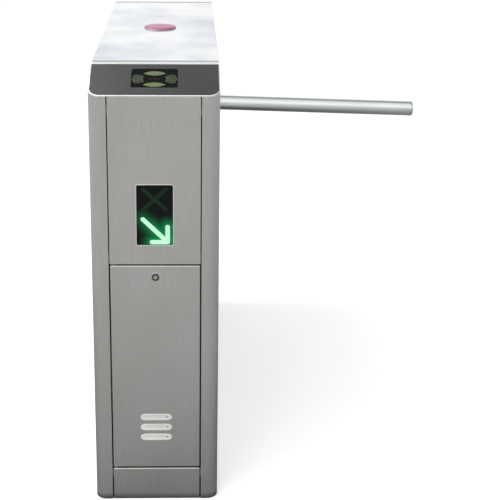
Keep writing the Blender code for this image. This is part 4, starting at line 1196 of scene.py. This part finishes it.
KEPT = {
    "base_plate": PAINTED, "end_frame_front": PAINTED, "end_frame_rear": PAINTED, "arm_channel": PAINTED,
    "mechanism_shelf": PAINTED, "bearing_plate_front": PAINTED, "bearing_plate_rear": PAINTED,
    "motor_bracket": PAINTED, "stop_bracket": PAINTED, "equipment_tray": PAINTED,
    "cable_gland": RUBBER, "stop_buffer_raised": RUBBER, "stop_buffer_lowered": RUBBER,
    "drive_pinion": BRASS, "brake_body": MOTOR_BLACK,
    "encoder_disc": WHITE_PLASTIC, "encoder_sensor": BLACK_PLASTIC,
    "hinge_rod_front": MACHINED, "hinge_rod_rear": MACHINED, "lid_hinge_pin": MACHINED,
    "lock_plug_front": MACHINED, "lock_plug_rear": MACHINED, "drive_shaft": MACHINED, "drive_gear": MACHINED,
    "stop_lever": MACHINED, "brake_rotor": MACHINED, "bearing_front": MACHINED, "bearing_rear": MACHINED,
    "arm_hub": MACHINED,
}


def finish_kept_nodes():
    """Give each CAD node that stays in view its own procedural material."""
    for name, finish in KEPT.items():
        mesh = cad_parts[name].data
        mesh.materials.clear()
        mesh.materials.append(finish)


# --- Stage, lights and camera -----------------------------------------------------------------------

FLOOR_SHADE_TONES = ((0.07, 0.18), (0.22, 0.35), (0.32, 0.41), (0.68, 0.62), (1.0, 0.66))


def stage():
    """Plain pale floor, dimmer where the object's metal reflects it, and there darkened towards the object as
    painted shade.
    """
    made = new_material("pale_floor", 0.6, 0.0)
    grain = noise(made, 3.0)
    even = ramp(made, grain, (0.95, 0.95, 0.95), (1.0, 1.0, 1.0))
    place = add(made, "ShaderNodeTexCoord")
    reach = add(made, "ShaderNodeVectorMath", operation="LENGTH")
    join(made, place, "Object", reach, "Vector")
    far = add(made, "ShaderNodeMath", operation="DIVIDE")
    far.inputs[1].default_value = 4.0
    join(made, reach, "Value", far, 0)
    # Painted shade: in reflections the floor grows darker towards the object.
    near = greys(made, far, "Value", FLOOR_SHADE_TONES)
    tone = mixed(made, even, near)
    dim = shader_of(made)
    join(made, tone, "Result", dim, "Base Color")
    dim.inputs["Specular IOR Level"].default_value = 0.0
    pale = add(made, "ShaderNodeBsdfDiffuse")
    pale.inputs["Color"].default_value = (0.93, 0.93, 0.93, 1.0)
    glow = add(made, "ShaderNodeEmission")
    glow.inputs["Strength"].default_value = 0.32
    both = add(made, "ShaderNodeAddShader")
    join(made, pale, 0, both, 0)
    join(made, glow, 0, both, 1)
    seen = add(made, "ShaderNodeLightPath")
    choice = add(made, "ShaderNodeMixShader")
    join(made, seen, "Is Camera Ray", choice, "Fac")
    join(made, dim, 0, choice, 1)
    join(made, both, 0, choice, 2)
    join(made, choice, 0, made.node_tree.nodes["Material Output"], "Surface")
    shape = bmesh.new()
    bmesh.ops.create_grid(shape, x_segments=1, y_segments=1, size=30.0)
    mesh = to_mesh("floor", shape)
    mesh.transform(Matrix.Translation((0, 0, -0.0005)))
    mesh.materials.append(made)
    floor = bpy.data.objects.new("floor", mesh)
    bpy.context.scene.collection.objects.link(floor)


def area_light(name, place, aim, size, power, colour=(1.0, 1.0, 1.0)):
    """A soft rectangular light that points at a target."""
    data = bpy.data.lights.new(name, "AREA")
    data.shape = "RECTANGLE"
    data.size, data.size_y = size
    data.energy = power
    data.color = colour
    lamp = bpy.data.objects.new(name, data)
    lamp.location = place
    lamp.rotation_mode = "QUATERNION"
    lamp.rotation_quaternion = (Vector(aim) - Vector(place)).to_track_quat("-Z", "Y")
    bpy.context.scene.collection.objects.link(lamp)
    return lamp


SKY = (
    (0.00, 0.75), (0.23, 1.15), (0.43, 0.95), (0.54, 0.55),
    (0.66, 0.35), (0.78, 0.55), (0.86, 1.00), (1.00, 1.02),
)


def studio_world():
    """White backdrop, and soft bands of light from front to back for the metal to reflect."""
    world = bpy.data.worlds.new("studio")
    world.use_nodes = True
    place = add(world, "ShaderNodeTexCoord")
    parts = add(world, "ShaderNodeSeparateXYZ")
    join(world, place, "Generated", parts, "Vector")
    front = add(world, "ShaderNodeMath", operation="MULTIPLY")
    front.inputs[1].default_value = -1.0
    join(world, parts, "Y", front, 0)
    rise = add(world, "ShaderNodeMath", operation="ARCTAN2")
    join(world, parts, "Z", rise, 0)
    join(world, front, 0, rise, 1)
    share = add(world, "ShaderNodeMath", operation="DIVIDE")
    share.inputs[1].default_value = math.pi
    join(world, rise, 0, share, 0)
    top = 1.2
    bands = greys(world, share, 0, SKY, top)
    bands.color_ramp.interpolation = "EASE"
    soft = world.node_tree.nodes["Background"]
    soft.inputs["Strength"].default_value = top
    join(world, bands, "Color", soft, "Color")
    white = add(world, "ShaderNodeBackground")
    white.inputs["Color"].default_value = (1.0, 1.0, 1.0, 1.0)
    seen = add(world, "ShaderNodeLightPath")
    choice = add(world, "ShaderNodeMixShader")
    join(world, seen, "Is Camera Ray", choice, "Fac")
    join(world, soft, 0, choice, 1)
    join(world, white, 0, choice, 2)
    join(world, choice, 0, world.node_tree.nodes["World Output"], "Surface")
    bpy.context.scene.world = world


def lights():
    """The surroundings and three soft lamps."""
    studio_world()
    area_light("key_light", (-1.6, -3.2, 3.4), (0, 0, 0.6), (2.2, 1.4), 40.0)
    area_light("side_light", (-3.4, 0.6, 2.2), (0, 0, 0.6), (1.6, 1.6), 30.0)
    area_light("top_light", (-0.85, 0.5, 2.6), (0, -0.55, 0.97), (0.5, 0.5), 17.0)


def camera():
    """A standing person's view of the front end, a little to the lane side and above."""
    lens, sensor = 87.307, 36.0
    shift_x, shift_y = 0.06, -0.1236
    place = Vector((0.0748, -3.0899, 1.5049))
    pitch, yaw, roll = math.radians(16.81), math.radians(1.51), math.radians(-0.49)
    forward = Vector((math.sin(yaw) * math.cos(pitch), math.cos(yaw) * math.cos(pitch), -math.sin(pitch)))
    level = Vector((math.cos(yaw), -math.sin(yaw), 0.0))
    below = forward.cross(level)
    right = level * math.cos(roll) + below * math.sin(roll)
    under = below * math.cos(roll) - level * math.sin(roll)
    data = bpy.data.cameras.new("camera")
    data.sensor_width = sensor
    data.lens = lens
    data.shift_x, data.shift_y = shift_x, shift_y
    data.clip_end = 100.0
    made = bpy.data.objects.new("camera", data)
    turn = Matrix((right, -under, -forward)).transposed().to_4x4()
    made.matrix_world = Matrix.Translation(place) @ turn
    bpy.context.scene.collection.objects.link(made)
    bpy.context.scene.camera = made


def build():
    """Make every visible piece, then the stage, lights and camera."""
    finish_kept_nodes()
    side_panel(-1)
    side_panel(1)
    slot_trim()
    lid()
    status_light()
    for tag, angle in ENDS.items():
        turn = turn_z(angle)
        end_panels(tag, turn)
        door(tag, turn)
        slope(tag, turn)
        reader(tag, turn)
        header(tag, turn)
        display(tag, turn)
    arm()
    equipment()
    stage()
    lights()
    camera()


build()
